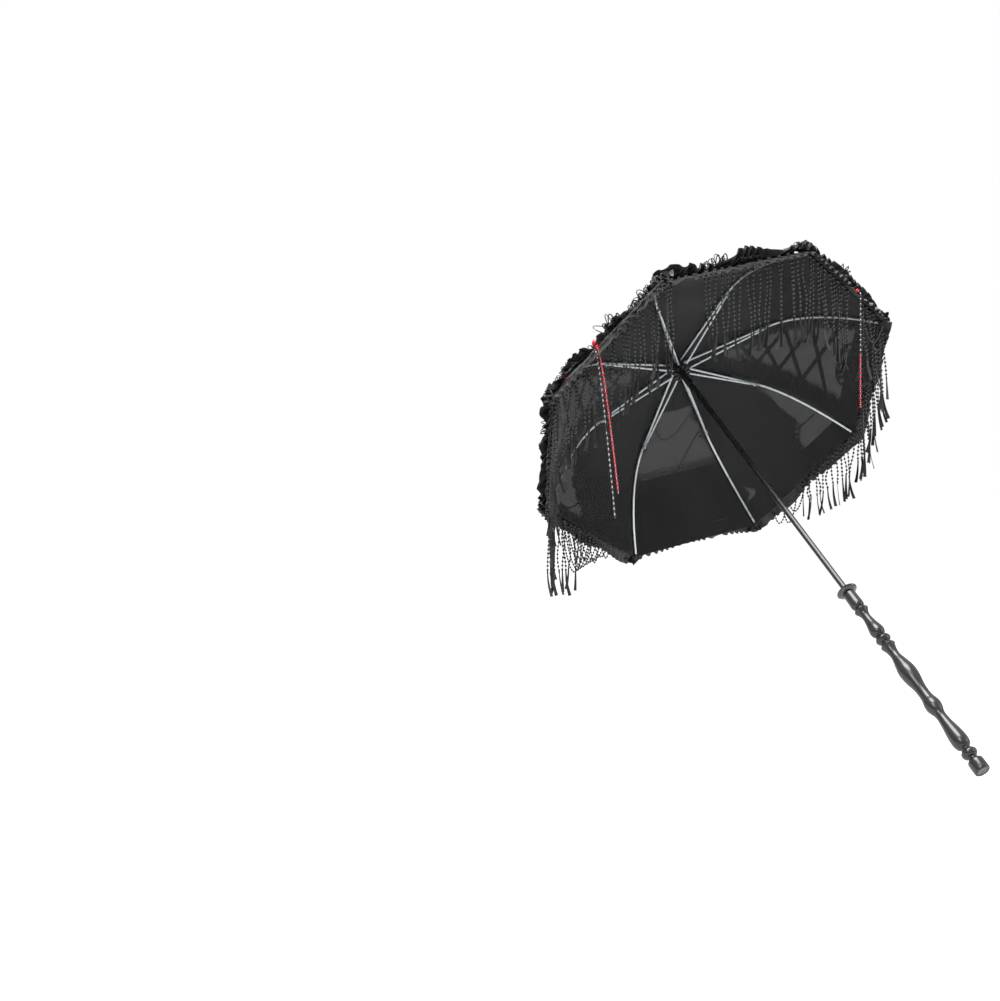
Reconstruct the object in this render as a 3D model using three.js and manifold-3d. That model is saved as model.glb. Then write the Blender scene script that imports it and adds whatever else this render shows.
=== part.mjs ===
// Lace parasol: eight hinged ribs on a tube, a sliding runner, turned handle, panelled canopy and fringe.
// Millimetres. The parasol is drawn upright in its own frame (crown pivots at z = 0, handle below),
// then the whole assembly is tilted and moved so that the hand's place on the handle is at the origin.
import * as THREE from 'three';
import { mergeVertices } from 'three/addons/utils/BufferGeometryUtils.js';
import Module from 'manifold-3d';

// ---- Driving dimensions ----
const RIB_COUNT = 8;
const RIM_RADIUS = 340; // shaft axis to the end of a rib, open
const RIM_DROP = 155; // crown pivots down to the rim, open
const BEND_RADIUS = 175; // where a rib's stretcher is pinned and its outer curve starts
const BEND_DROP = 25;
const CURVE_CONTROL_RADIUS = 258; // control point of the rib's outer curve
const CURVE_CONTROL_DROP = 38;
const PIVOT_RADIUS = 11; // shaft axis to the crown pivots
const FIRST_RIB_AZIMUTH = -130.4; // degrees from +X, about the shaft
const TILT = 49.8; // shaft's lean from upright, degrees
const GRIP_DISTANCE = 780; // crown pivots to the middle of the hand
const GAP = 0.3; // between pieces that touch

const SHAFT_RADIUS = 5;
const SHAFT_WALL = 0.9;
const SHAFT_TOP = 14;
const SHAFT_FOOT = -760;
const BORE = SHAFT_RADIUS + GAP;

const RIB_WIDTH = 3.4; // across the rib
const RIB_DEPTH = 3.2;
const PIN_HOLE_RADIUS = 0.9;
const EYE_RADIUS = 2.3;
const LUG_RADIUS = 2.6;
const LUG_WIDTH = 4.4;
const LUG_DROP = 4.2; // stretcher pin below the rib's centre line
const BLADE_WIDTH = 1.6; // stretcher's flat end, inside the lug
const STRETCHER_WIDTH = 3.2;
const STRETCHER_DEPTH = 2.4;
const STRETCHER_SHORT = 8.5; // running clearance at the stretcher's free lower end
const RUNNER_NOTCH_DROP = 20;

const CLOTH = 1.5; // canopy thickness
const CLOTH_CLEARANCE = 2.7; // rib centre line to the cloth's underside
const CANOPY_INNER_RADIUS = 17;
const HEM_EXTRA = 5; // cloth beyond the rib's end
const FRINGE_LENGTH = 150;
const FRINGE_THICKNESS = 2.5;
const FRINGE_START = 12; // hem to the top of the fringe
const BARE_GORE = 5;

const CATCH_AZIMUTH = 27; // between two ribs
const KEYWAY_WIDTH = 3.4;

const radians = THREE.MathUtils.degToRad;
const PITCH = radians(360 / RIB_COUNT);

// ---- Finishes ----
const finish = (color, roughness, metalness) => new THREE.MeshStandardMaterial({ color, roughness, metalness });
const blackTube = finish(0x17181a, 0.35, 0.6);
const steel = finish(0xb9c0c4, 0.3, 0.9);
const blackPlastic = finish(0x141416, 0.45, 0);
const turnedWood = finish(0x1e1f21, 0.35, 0);
const polishedBead = finish(0x26272a, 0.12, 0);
const satinCloth = finish(0x2b2c2f, 0.55, 0);
const beadFringe = finish(0x111113, 0.4, 0);

// ---- Solids ----
const wasm = await Module();
wasm.setup();

function toSolid(geometry) {
  const bare = geometry.clone();
  bare.deleteAttribute('normal');
  bare.deleteAttribute('uv');
  const welded = mergeVertices(bare, 1e-4);
  const vertProperties = Float32Array.from(welded.attributes.position.array);
  const triVerts = Uint32Array.from(welded.index.array);
  return new wasm.Manifold(new wasm.Mesh({ numProp: 3, vertProperties, triVerts }));
}

function toGeometry(solid) {
  const mesh = solid.getMesh();
  const geometry = new THREE.BufferGeometry();
  geometry.setAttribute('position', new THREE.BufferAttribute(Float32Array.from(mesh.vertProperties), 3));
  geometry.setIndex(new THREE.BufferAttribute(Uint32Array.from(mesh.triVerts), 1));
  return geometry;
}

// A solid of revolution about Z. The outline is a list of [radius, z], counter-clockwise, and closes on itself
// unless both of its ends are on the axis.
function turned(outline, segments) {
  const points = outline.map(([radius, z]) => new THREE.Vector2(radius, z));
  const onAxis = points[0].x === 0 && points[points.length - 1].x === 0;
  if (!onAxis) points.push(points[0].clone());
  const geometry = new THREE.LatheGeometry(points, segments);
  geometry.rotateX(Math.PI / 2);
  return geometry;
}

// A flat outline in the radial plane, extruded across the rib: shape x is radial and shape y is up.
function plate(shape, width) {
  const geometry = new THREE.ExtrudeGeometry(shape, { depth: width, bevelEnabled: false, curveSegments: 5 });
  geometry.translate(0, 0, -width / 2);
  geometry.rotateX(Math.PI / 2);
  return geometry;
}

function polygon(points) {
  return new THREE.Shape(points);
}

function disc(x, y, radius) {
  const shape = new THREE.Shape();
  shape.absarc(x, y, radius, 0, 2 * Math.PI);
  return shape;
}

// A block lying along +X, turned to an azimuth about the shaft.
function radialBlock(fromRadius, toRadius, width, fromZ, toZ, azimuth) {
  const block = new THREE.BoxGeometry(toRadius - fromRadius, width, toZ - fromZ);
  block.translate((fromRadius + toRadius) / 2, 0, (fromZ + toZ) / 2);
  block.rotateZ(azimuth);
  return toSolid(block);
}

// A closed skin between two grids of points with the same rows and columns.
function shell(outer, inner) {
  const rows = outer.length;
  const columns = outer[0].length;
  const positions = [...outer.flat(), ...inner.flat()].flatMap((point) => point.toArray());
  const at = (side, row, column) => side * rows * columns + row * columns + column;
  const index = [];
  const quad = (a, b, c, d) => index.push(a, b, c, a, c, d);
  for (let row = 0; row < rows - 1; row += 1) {
    for (let column = 0; column < columns - 1; column += 1) {
      quad(at(0, row, column), at(0, row + 1, column), at(0, row + 1, column + 1), at(0, row, column + 1));
      quad(at(1, row, column), at(1, row, column + 1), at(1, row + 1, column + 1), at(1, row + 1, column));
    }
    quad(at(0, row + 1, 0), at(0, row, 0), at(1, row, 0), at(1, row + 1, 0));
    const last = columns - 1;
    quad(at(0, row, last), at(0, row + 1, last), at(1, row + 1, last), at(1, row, last));
  }
  for (let column = 0; column < columns - 1; column += 1) {
    quad(at(0, 0, column), at(0, 0, column + 1), at(1, 0, column + 1), at(1, 0, column));
    const last = rows - 1;
    quad(at(0, last, column + 1), at(0, last, column), at(1, last, column), at(1, last, column + 1));
  }
  const geometry = new THREE.BufferGeometry();
  geometry.setAttribute('position', new THREE.Float32BufferAttribute(positions, 3));
  geometry.setIndex(index);
  return geometry;
}

// ---- Rib curve, in a plane through the shaft: x is the distance from the shaft, y is up ----
const bend = new THREE.Vector2(BEND_RADIUS, -BEND_DROP);
const ribEnd = new THREE.Vector2(RIM_RADIUS, -RIM_DROP);
const ribCurve = new THREE.CurvePath();
ribCurve.add(new THREE.LineCurve(new THREE.Vector2(PIVOT_RADIUS, 0), bend));
ribCurve.add(
  new THREE.QuadraticBezierCurve(bend, new THREE.Vector2(CURVE_CONTROL_RADIUS, -CURVE_CONTROL_DROP), ribEnd),
);

function besideRib(fraction, offset) {
  const point = ribCurve.getPointAt(fraction);
  const tangent = ribCurve.getTangentAt(fraction);
  return new THREE.Vector2(point.x - offset * tangent.y, point.y + offset * tangent.x);
}

// Places along the rib, as shares of its length, that the bar and the cloth above it both pass through.
const BEND_SHARE = ribCurve.curves[0].getLength() / ribCurve.getLength();
const RIB_STATIONS = [0, BEND_SHARE / 2, BEND_SHARE];
const CURVE_STEPS = 8;
for (let step = 1; step <= CURVE_STEPS; step += 1) {
  RIB_STATIONS.push(BEND_SHARE + (1 - BEND_SHARE) * step / CURVE_STEPS);
}

// ---- Ribs, their tips, lugs and pins ----
function ribBar() {
  const top = RIB_STATIONS.map((fraction) => besideRib(fraction, RIB_DEPTH / 2));
  const bottom = RIB_STATIONS.map((fraction) => besideRib(fraction, -RIB_DEPTH / 2));
  return plate(polygon([...bottom, ...top.reverse()]), RIB_WIDTH);
}

const lugPin = new THREE.Vector2(BEND_RADIUS, -BEND_DROP - LUG_DROP);

function lugBlock() {
  const shape = polygon([
    new THREE.Vector2(BEND_RADIUS - 7, -BEND_DROP),
    new THREE.Vector2(lugPin.x - LUG_RADIUS, lugPin.y),
    new THREE.Vector2(lugPin.x - LUG_RADIUS * 0.7, lugPin.y - LUG_RADIUS * 0.7),
    new THREE.Vector2(lugPin.x, lugPin.y - LUG_RADIUS),
    new THREE.Vector2(lugPin.x + LUG_RADIUS * 0.7, lugPin.y - LUG_RADIUS * 0.7),
    new THREE.Vector2(lugPin.x + LUG_RADIUS, lugPin.y),
    new THREE.Vector2(BEND_RADIUS + 7, -BEND_DROP - 1),
  ]);
  return plate(shape, LUG_WIDTH);
}

function makeRib() {
  const lugSlot = new THREE.BoxGeometry(24, BLADE_WIDTH + 2 * GAP, 10);
  lugSlot.translate(BEND_RADIUS, 0, -BEND_DROP - RIB_DEPTH / 2 - 0.3 - 5);
  const pinHole = plate(disc(lugPin.x, lugPin.y, PIN_HOLE_RADIUS), 3 * LUG_WIDTH);
  const crownHole = plate(disc(PIVOT_RADIUS, 0, PIN_HOLE_RADIUS), 3 * RIB_WIDTH);
  const solid = toSolid(ribBar())
    .add(toSolid(plate(disc(PIVOT_RADIUS, 0, EYE_RADIUS), RIB_WIDTH)))
    .add(toSolid(lugBlock()))
    .subtract(toSolid(lugSlot))
    .subtract(toSolid(pinHole))
    .subtract(toSolid(crownHole));
  return toGeometry(solid);
}

function makeRibTip() {
  const tip = turned([[0, GAP], [2.1, GAP], [2.1, 5.2], [2.8, 6], [2.9, 7.4], [2, 9], [0, 9.6]], 10);
  const direction = ribCurve.getTangentAt(1);
  tip.rotateY(Math.PI / 2 - Math.atan2(direction.y, direction.x));
  tip.translate(ribEnd.x, 0, ribEnd.y);
  return tip;
}

function makeRivet() {
  const headInside = LUG_WIDTH / 2 + GAP;
  const headOutside = headInside + 0.7;
  const shank = PIN_HOLE_RADIUS - GAP;
  const head = 1.5;
  const rivet = turned(
    [[0, -headOutside], [head, -headOutside], [head, -headInside], [shank, -headInside],
      [shank, headInside], [head, headInside], [head, headOutside], [0, headOutside]],
    10,
  );
  rivet.rotateX(Math.PI / 2);
  rivet.translate(lugPin.x, 0, lugPin.y);
  return rivet;
}

// ---- Stretchers: a bar with a flat eye pinned in the rib's lug ----
function makeStretcher() {
  const lowerEnd = new THREE.Vector2(PIVOT_RADIUS, -RUNNER_NOTCH_DROP);
  const length = lugPin.distanceTo(lowerEnd);
  const blade = new THREE.Shape();
  blade.absarc(0, 0, 1.4, -Math.PI / 2, Math.PI / 2);
  blade.lineTo(-16, 1.2);
  blade.lineTo(-16, -1.2);
  const half = STRETCHER_DEPTH / 2;
  const bar = new THREE.Shape();
  bar.moveTo(-14, -half);
  bar.lineTo(-14, half);
  bar.absarc(-length + STRETCHER_SHORT + half, 0, half, Math.PI / 2, 1.5 * Math.PI);
  const solid = toSolid(plate(blade, BLADE_WIDTH))
    .add(toSolid(plate(bar, STRETCHER_WIDTH)))
    .subtract(toSolid(plate(disc(0, 0, PIN_HOLE_RADIUS), 3 * BLADE_WIDTH)));
  const geometry = toGeometry(solid);
  const slope = Math.atan2(lowerEnd.y - lugPin.y, lugPin.x - lowerEnd.x);
  geometry.rotateY(slope);
  geometry.translate(lugPin.x, 0, lugPin.y);
  return geometry;
}

// ---- Canopy and fringe: each rib carries the half panels on its two sides ----
// A point of the panel beside a rib: side -1 to 1 runs from seam to seam, with straight chords between ribs.
function acrossPanel(point, side) {
  const seamInset = 0.2 / (2 * point.x * Math.sin(PITCH / 2));
  const share = Math.abs(side) * (0.5 - seamInset);
  const x = point.x * (1 - share + share * Math.cos(PITCH));
  const y = point.x * share * Math.sin(PITCH) * Math.sign(side);
  return new THREE.Vector3(x, y, point.y);
}

const SIDES = [-1, -0.5, 0, 0.5, 1];
const PAST_RIB = 2; // any share over 1 stands for the hem

function clothRow(fraction, offset, sides = SIDES) {
  const point = besideRib(Math.min(fraction, 1), offset);
  if (fraction > 1) point.addScaledVector(ribCurve.getTangentAt(1), HEM_EXTRA);
  return sides.map((side) => acrossPanel(point, side));
}

function makeCanopyPanel() {
  const innerEdge = (CANOPY_INNER_RADIUS - PIVOT_RADIUS) / ribCurve.getLength();
  const rows = [innerEdge, ...RIB_STATIONS.slice(1), PAST_RIB];
  const outer = rows.map((fraction) => clothRow(fraction, CLOTH_CLEARANCE + CLOTH));
  const inner = rows.map((fraction) => clothRow(fraction, CLOTH_CLEARANCE));
  return shell(outer, inner);
}

// The fringe hangs straight down from the hem, whatever way its rib points. No fringe is sewn to the gore
// between ribs BARE_GORE and BARE_GORE + 1.
function fringeSides(number) {
  if (number === BARE_GORE) return SIDES.filter((side) => side <= 0);
  if (number === BARE_GORE + 1) return SIDES.filter((side) => side >= 0);
  return SIDES;
}

function makeFringePanel(azimuth, number) {
  const lean = radians(TILT);
  const down = new THREE.Vector3(0, Math.sin(lean), -Math.cos(lean));
  down.applyAxisAngle(new THREE.Vector3(0, 0, 1), -azimuth);
  const hem = clothRow(PAST_RIB, CLOTH_CLEARANCE, fringeSides(number));
  const curtain = (distance, thickness) => hem.map((point) => new THREE.Vector3(point.x + thickness, point.y, point.z)
    .addScaledVector(down, distance));
  const outer = [curtain(FRINGE_START, FRINGE_THICKNESS), curtain(FRINGE_START + FRINGE_LENGTH, FRINGE_THICKNESS)];
  const inner = [curtain(FRINGE_START, 0), curtain(FRINGE_START + FRINGE_LENGTH, 0)];
  return shell(outer, inner);
}

// ---- Shaft, catches, crown and runner ----
const OPEN_CATCH_DROP = 66;
const CLOSED_CATCH_DROP = 352;
const CATCH_WIDTH = 2.4;
const CATCH_LEG = 30;
const catchAzimuth = radians(CATCH_AZIMUTH);

function makeShaft() {
  const inside = SHAFT_RADIUS - SHAFT_WALL;
  let tube = toSolid(
    turned([[inside, SHAFT_FOOT], [SHAFT_RADIUS, SHAFT_FOOT], [SHAFT_RADIUS, SHAFT_TOP], [inside, SHAFT_TOP]], 20),
  );
  for (const drop of [OPEN_CATCH_DROP, CLOSED_CATCH_DROP]) {
    const window = radialBlock(1, 8, CATCH_WIDTH + 2 * GAP, -drop - 9, -drop + 1, catchAzimuth);
    tube = tube.subtract(window);
  }
  return toGeometry(tube);
}

// A leaf inside the tube with a nose that pokes out through the tube's window.
function makeCatch(drop) {
  const leaf = polygon([
    new THREE.Vector2(2.6, -CATCH_LEG),
    new THREE.Vector2(3.6, -CATCH_LEG),
    new THREE.Vector2(3.6, -8),
    new THREE.Vector2(7, -0.6),
    new THREE.Vector2(7, 0),
    new THREE.Vector2(2.6, 0),
  ]);
  const geometry = plate(leaf, CATCH_WIDTH);
  geometry.translate(0, 0, -drop);
  geometry.rotateZ(catchAzimuth);
  return geometry;
}

function makeCrownNotch() {
  const half = 4.5;
  const outside = 15;
  const groove = 1;
  const grooveFloor = 10.2;
  let wheel = toSolid(
    turned([[BORE, -half], [outside, -half], [outside, -groove], [grooveFloor, -groove],
      [grooveFloor, groove], [outside, groove], [outside, half], [BORE, half]], 24),
  );
  for (let rib = 0; rib < RIB_COUNT; rib += 1) {
    const azimuth = radians(FIRST_RIB_AZIMUTH) + rib * PITCH;
    wheel = wheel.subtract(radialBlock(8.4, 20, RIB_WIDTH + 2 * GAP, -10, 10, azimuth));
  }
  return toGeometry(wheel);
}

function makeCrownCap() {
  return turned([[BORE, 4.8], [15.3, 4.8], [16, 4.2], [21, 3.4], [21.6, 4.2], [16, 6.8], [8.5, 9.5], [BORE, 9.5]], 24);
}

function makeFerrule() {
  return turned(
    [[0, 14.4], [BORE, 14.4], [BORE, 9.8], [7.6, 9.8], [7.9, 11.4], [6.4, 14], [5, 18], [4.4, 30],
      [4.4, 50], [5.4, 53], [5.4, 54.6], [4, 56], [0, 56]],
    20,
  );
}

function makeFinialBall() {
  const radius = 9;
  const ball = new THREE.SphereGeometry(radius, 18, 10);
  ball.rotateX(Math.PI / 2);
  ball.translate(0, 0, 56 + GAP + radius);
  return ball;
}

function makeRunner() {
  const notchTop = -RUNNER_NOTCH_DROP + 3;
  const notchFoot = -RUNNER_NOTCH_DROP - 3;
  const notchRadius = 17;
  const sleeve = 7;
  const collar = 7.8;
  const foot = -61.5;
  const solid = turned(
    [[BORE, foot], [collar, foot], [collar, foot + 3.2], [sleeve, foot + 4], [sleeve, notchFoot],
      [notchRadius, notchFoot], [notchRadius, notchTop], [BORE, notchTop]],
    24,
  );
  let runner = toSolid(solid);
  for (let rib = 0; rib < RIB_COUNT; rib += 1) {
    const azimuth = radians(FIRST_RIB_AZIMUTH) + rib * PITCH;
    runner = runner.subtract(radialBlock(8.6, 20, STRETCHER_WIDTH + 2 * GAP, -40, 0, azimuth));
  }
  return toGeometry(runner.subtract(radialBlock(4, sleeve + 0.5, KEYWAY_WIDTH, foot - 1, 0, catchAzimuth)));
}

// ---- Handle ----
// A smooth outline through [drop below the crown, radius] stations, bored for the shaft.
function turnedHandle(stations, points, segments) {
  const curve = new THREE.SplineCurve(stations.map(([drop, radius]) => new THREE.Vector2(radius, -drop)));
  const outside = curve.getPoints(points).map((point) => [point.x, point.y]);
  const top = outside[0][1];
  const foot = outside[outside.length - 1][1];
  const boreFoot = Math.max(foot, SHAFT_FOOT - GAP);
  const outline = foot < boreFoot
    ? [[0, foot], ...outside.reverse(), [BORE, top], [BORE, boreFoot], [0, boreFoot]]
    : [[BORE, foot], ...outside.reverse(), [BORE, top]];
  return turned(outline, segments);
}

function makeTipRing() {
  return turned(
    [[BORE, -623.6], [9.4, -623.6], [15.4, -621.2], [17.4, -618.6], [17, -617.8], [15, -619.6],
      [9, -622], [BORE, -622]],
    24,
  );
}

function makeHandleCup() {
  const stations = [[624, 9.4], [625.2, 10.1], [636, 10.4], [647, 10.7], [652, 10.2], [655, 8.6], [656.6, 6.9]];
  return turnedHandle(stations, 8, 16);
}

function makeHandleGrip() {
  const stations = [
    [657, 6.9], [658.6, 7.1], [660, 10.4], [662, 11.5], [664.4, 10.4], [670, 7.9], [677.6, 6.9], [690, 8.4],
    [703, 11.2], [711, 11.3], [716, 8.6], [718, 6.6], [720.4, 9.4], [725.6, 12.1], [731, 9.4], [733.6, 6.7],
    [736.4, 9.8], [739.4, 11.7], [742.4, 10.6], [750, 8.4], [761, 7.6], [776, 10.8], [792, 13.7], [808, 12.8],
    [824, 9.8], [837, 8.9], [848, 9.6], [857, 11.9], [864, 12.4], [871, 11], [878, 8.6], [887, 8], [900, 9.4],
    [918, 12.2], [932, 13], [941, 10.8], [945.6, 6.8], [948.4, 8.8], [951.6, 11.6], [955, 12], [959, 10.4],
    [962.4, 6.8], [964.4, 6.8],
  ];
  return turnedHandle(stations, stations.length - 1, 16);
}

function makeHandleEndCap() {
  return turned(
    [[0, -988], [10.8, -988], [11.8, -987], [12.1, -972], [11.4, -968], [9, -965.6], [6.8, -964.7], [0, -964.7]],
    24,
  );
}

// ---- Assembly ----
const parasol = new THREE.Group();

function place(name, geometry, material, group = parasol) {
  const mesh = new THREE.Mesh(geometry, material.clone());
  mesh.name = name;
  group.add(mesh);
}

place('shaft', makeShaft(), blackTube);
place('crown_notch', makeCrownNotch(), blackPlastic);
place('crown_cap', makeCrownCap(), blackPlastic);
place('ferrule', makeFerrule(), turnedWood);
place('finial_ball', makeFinialBall(), polishedBead);
place('runner', makeRunner(), blackPlastic);
place('open_catch', makeCatch(OPEN_CATCH_DROP), steel);
place('closed_catch', makeCatch(CLOSED_CATCH_DROP), steel);
place('tip_ring', makeTipRing(), turnedWood);
place('handle_cup', makeHandleCup(), turnedWood);
place('handle_grip', makeHandleGrip(), turnedWood);
place('handle_end_cap', makeHandleEndCap(), turnedWood);

const ribGeometry = makeRib();
const ribTipGeometry = makeRibTip();
const rivetGeometry = makeRivet();
const stretcherGeometry = makeStretcher();
const canopyGeometry = makeCanopyPanel();

for (let number = 1; number <= RIB_COUNT; number += 1) {
  const azimuth = radians(FIRST_RIB_AZIMUTH) + (number - 1) * PITCH;
  const spoke = new THREE.Group();
  spoke.rotation.z = azimuth;
  parasol.add(spoke);
  place(`rib_${number}`, ribGeometry, steel, spoke);
  place(`rib_tip_${number}`, ribTipGeometry, blackPlastic, spoke);
  place(`rib_rivet_${number}`, rivetGeometry, steel, spoke);
  place(`stretcher_${number}`, stretcherGeometry, steel, spoke);
  place(`canopy_${number}`, canopyGeometry, satinCloth, spoke);
  place(`fringe_${number}`, makeFringePanel(azimuth, number), beadFringe, spoke);
}

parasol.rotation.x = -radians(TILT);
parasol.position.set(0, GRIP_DISTANCE * Math.sin(radians(TILT)), GRIP_DISTANCE * Math.cos(radians(TILT)));

const held = new THREE.Group();
held.add(parasol);

export default held;
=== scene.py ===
"""Looks of the lace parasol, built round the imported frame. Metres, row frame, +Z up."""
import math

import bpy
import numpy as np
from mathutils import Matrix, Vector

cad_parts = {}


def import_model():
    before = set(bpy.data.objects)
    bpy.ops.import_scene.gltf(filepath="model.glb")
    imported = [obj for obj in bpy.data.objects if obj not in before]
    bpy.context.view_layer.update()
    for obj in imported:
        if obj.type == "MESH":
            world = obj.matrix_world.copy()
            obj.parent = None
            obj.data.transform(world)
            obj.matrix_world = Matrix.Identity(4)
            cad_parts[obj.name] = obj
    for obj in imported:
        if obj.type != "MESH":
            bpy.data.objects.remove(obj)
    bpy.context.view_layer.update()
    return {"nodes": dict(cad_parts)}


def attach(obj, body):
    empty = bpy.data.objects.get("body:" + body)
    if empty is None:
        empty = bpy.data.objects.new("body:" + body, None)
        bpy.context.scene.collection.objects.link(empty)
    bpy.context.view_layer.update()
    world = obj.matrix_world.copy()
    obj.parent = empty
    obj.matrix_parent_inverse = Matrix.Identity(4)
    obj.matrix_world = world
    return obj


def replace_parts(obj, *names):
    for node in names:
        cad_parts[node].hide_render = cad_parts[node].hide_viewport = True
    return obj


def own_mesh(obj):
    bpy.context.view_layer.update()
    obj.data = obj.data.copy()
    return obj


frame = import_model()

# ---- Dimensions shared with the frame: the parasol's own frame has the crown pivots at z = 0 ----
TILT = math.radians(49.8)
GRIP_DISTANCE = 0.780  # from the crown pivots down the shaft to the origin
RIBS = range(1, 9)
PITCH = math.radians(45)
FIRST_AZIMUTH = math.radians(-130.4)
# A rib's line, as distance from the shaft and height: straight from its pivot to BEND, then a curve.
PIVOT_RADIUS = 0.011
BEND = np.array([0.175, -0.025])
CONTROL = np.array([0.258, -0.038])
RIB_END = np.array([0.340, -0.155])
CLOTH_LIFT = 0.0034  # rib's centre line to the cloth
CLOTH_START = 0.0165  # from the crown to the cloth's inner edge
HEM_EXTRA = 0.005  # cloth beyond the rib's end
SAG = 0.004  # how far a panel dips between its ribs

# ---- Lit and seen ----
SKY_LOW, SKY_HIGH = 0.25, 1.0  # studio light from below and from above
FLOOR_GLOW = 0.5
CAMERA_PLACE = (-1.520, -1.600, 0.249)
CAMERA_LOOK = (0.46175, 0.88701, 0.0)
LENS, SENSOR_WIDTH = 50.39, 36  # millimetres

COS_HALF, SIN_HALF = math.cos(PITCH / 2), math.sin(PITCH / 2)
TO_WORLD = np.array(
    [[1, 0, 0], [0, math.cos(TILT), math.sin(TILT)], [0, -math.sin(TILT), math.cos(TILT)]]
)
CROWN = GRIP_DISTANCE * np.array([0, math.sin(TILT), math.cos(TILT)])
DOWN = np.array([0.0, 0.0, -1.0])
PLAN_DOWN = (DOWN @ TO_WORLD)[:2] / np.linalg.norm((DOWN @ TO_WORLD)[:2])


def world(points):
    return np.asarray(points, float) @ TO_WORLD.T + CROWN


def unit(vectors):
    return vectors / np.maximum(np.linalg.norm(vectors, axis=-1, keepdims=True), 1e-9)


def lengths(points):
    """How far along a line of points each one lies."""
    return np.concatenate([[0], np.cumsum(np.linalg.norm(np.diff(points, axis=0), axis=1))])


def mound(turn, middle, width):
    """A smooth flat-topped rise to 1 round one place."""
    return np.exp(-(((turn - middle) / width) ** 4))


# ---- Objects ----
def add_object(name, data):
    obj = bpy.data.objects.new(name, data)
    bpy.context.scene.collection.objects.link(obj)
    return obj


def aimed_object(name, data, place, look):
    obj = add_object(name, data)
    obj.location = place
    obj.rotation_mode = "QUATERNION"
    obj.rotation_quaternion = Vector(look).to_track_quat("-Z", "Y")
    return obj


def make_camera():
    data = bpy.data.cameras.new("camera")
    data.lens, data.sensor_width = LENS, SENSOR_WIDTH
    data.clip_start, data.clip_end = 0.05, 100
    bpy.context.scene.camera = aimed_object("camera", data, CAMERA_PLACE, CAMERA_LOOK)


# ---- The canopy's surface ----
PROFILE_STEPS = 32
PAST_RIB = 0.08  # how far the surface is carried on beyond the rib's end


def profile():
    """A gore's middle line: lengths, the rib line's radii and heights, normals, and the rib's length."""
    share = np.linspace(0, 1, PROFILE_STEPS + 1)[:, None]
    inner = np.array([0.0, -BEND[1] / (BEND[0] - PIVOT_RADIUS) * PIVOT_RADIUS])
    straight = inner + (BEND - inner) * share
    curve = (1 - share) ** 2 * BEND + 2 * share * (1 - share) * CONTROL + share**2 * RIB_END
    past = RIB_END + unit(RIB_END - CONTROL) * (PAST_RIB * share)
    line = np.concatenate([straight, curve[1:], past[1:]])
    along = unit(np.gradient(line, axis=0))
    line = line + np.stack([-along[:, 1], along[:, 0]], -1) * CLOTH_LIFT
    middle = line * [COS_HALF, 1]
    length, way = lengths(middle), unit(np.gradient(middle, axis=0))
    return length, line[:, 0], line[:, 1], -way[:, 1], way[:, 0], length[2 * PROFILE_STEPS]


LENGTH, RADIUS, HEIGHT, NORMAL_OUT, NORMAL_UP, RIB_LENGTH = profile()
HEM = RIB_LENGTH + HEM_EXTRA


def half_width(s):
    return np.interp(s, LENGTH, RADIUS) * SIN_HALF


def azimuth_of(rib):
    return FIRST_AZIMUTH + (rib - 1) * PITCH


def turned_to(azimuth, out, side, up):
    c, s = math.cos(azimuth), math.sin(azimuth)
    return np.stack([out * c - side * s, out * s + side * c, up], -1)


def gore_normals(gore, s):
    out, up = np.interp(s, LENGTH, NORMAL_OUT), np.interp(s, LENGTH, NORMAL_UP)
    return turned_to(azimuth_of(gore) + PITCH / 2, out, 0 * out, up) @ TO_WORLD.T


def gore_points(gore, x, s, lift=0.0):
    """Points of the panel from rib gore to the next: x across from its middle, s down it from the crown."""
    x, s, lift = np.broadcast_arrays(np.asarray(x, float), s, lift)
    half = np.maximum(half_width(s), 1e-4)
    dip = np.clip(1 - (x / half) ** 2, 0, 1) * np.sin(math.pi * np.clip(s / HEM, 0, 1))
    out = np.interp(s, LENGTH, RADIUS) * COS_HALF
    flat = turned_to(azimuth_of(gore) + PITCH / 2, out, x, np.interp(s, LENGTH, HEIGHT))
    return world(flat) + gore_normals(gore, s) * (lift - SAG * dip)[..., None]


def sector_normals(rib, share, s):
    share, s = np.broadcast_arrays(np.asarray(share, float), s)
    left, right = gore_normals(rib - 1, s), gore_normals(rib, s)
    mix = np.clip(share / 0.5, -1, 1)
    mix = (0.5 + 0.5 * np.sin(mix * math.pi / 2))[..., None]
    return unit(left * (1 - mix) + right * mix)


def sector_points(rib, share, s, lift=0.0):
    """Points of the cloth round a rib: share -1 and 1 are the middles of the gores on its two sides."""
    share, s, lift = np.broadcast_arrays(np.asarray(share, float), s, lift)
    half = half_width(s)
    left = gore_points(rib - 1, half * (1 + share), s)
    right = gore_points(rib, -half * (1 - share), s)
    points = np.where((share < 0)[..., None], left, right)
    return points + sector_normals(rib, share, s) * lift[..., None]


def sector_lines(rib, share, s):
    """A line across a sector at distance s down it, with its outward and raised directions."""
    start = sector_points(rib, share, s)
    out = unit(sector_points(rib, share, s + 0.012) - start)
    return start, out, sector_normals(rib, share, s)


def tangent_of(rib):
    azimuth = azimuth_of(rib)
    return TO_WORLD @ np.array([-math.sin(azimuth), math.cos(azimuth), 0.0])


def wave(turn, seed, count=5, slowest=3):
    """A smooth made-up unevenness, from -1 to 1, that repeats once round the canopy (turn 0 to 8)."""
    random = np.random.default_rng(seed)
    rates = [2 * math.pi * (slowest + 4 * n) / 8 for n in range(count)]
    return sum(np.sin(rate * turn + random.uniform(0, 6.28)) for rate in rates) / count**0.6


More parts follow.
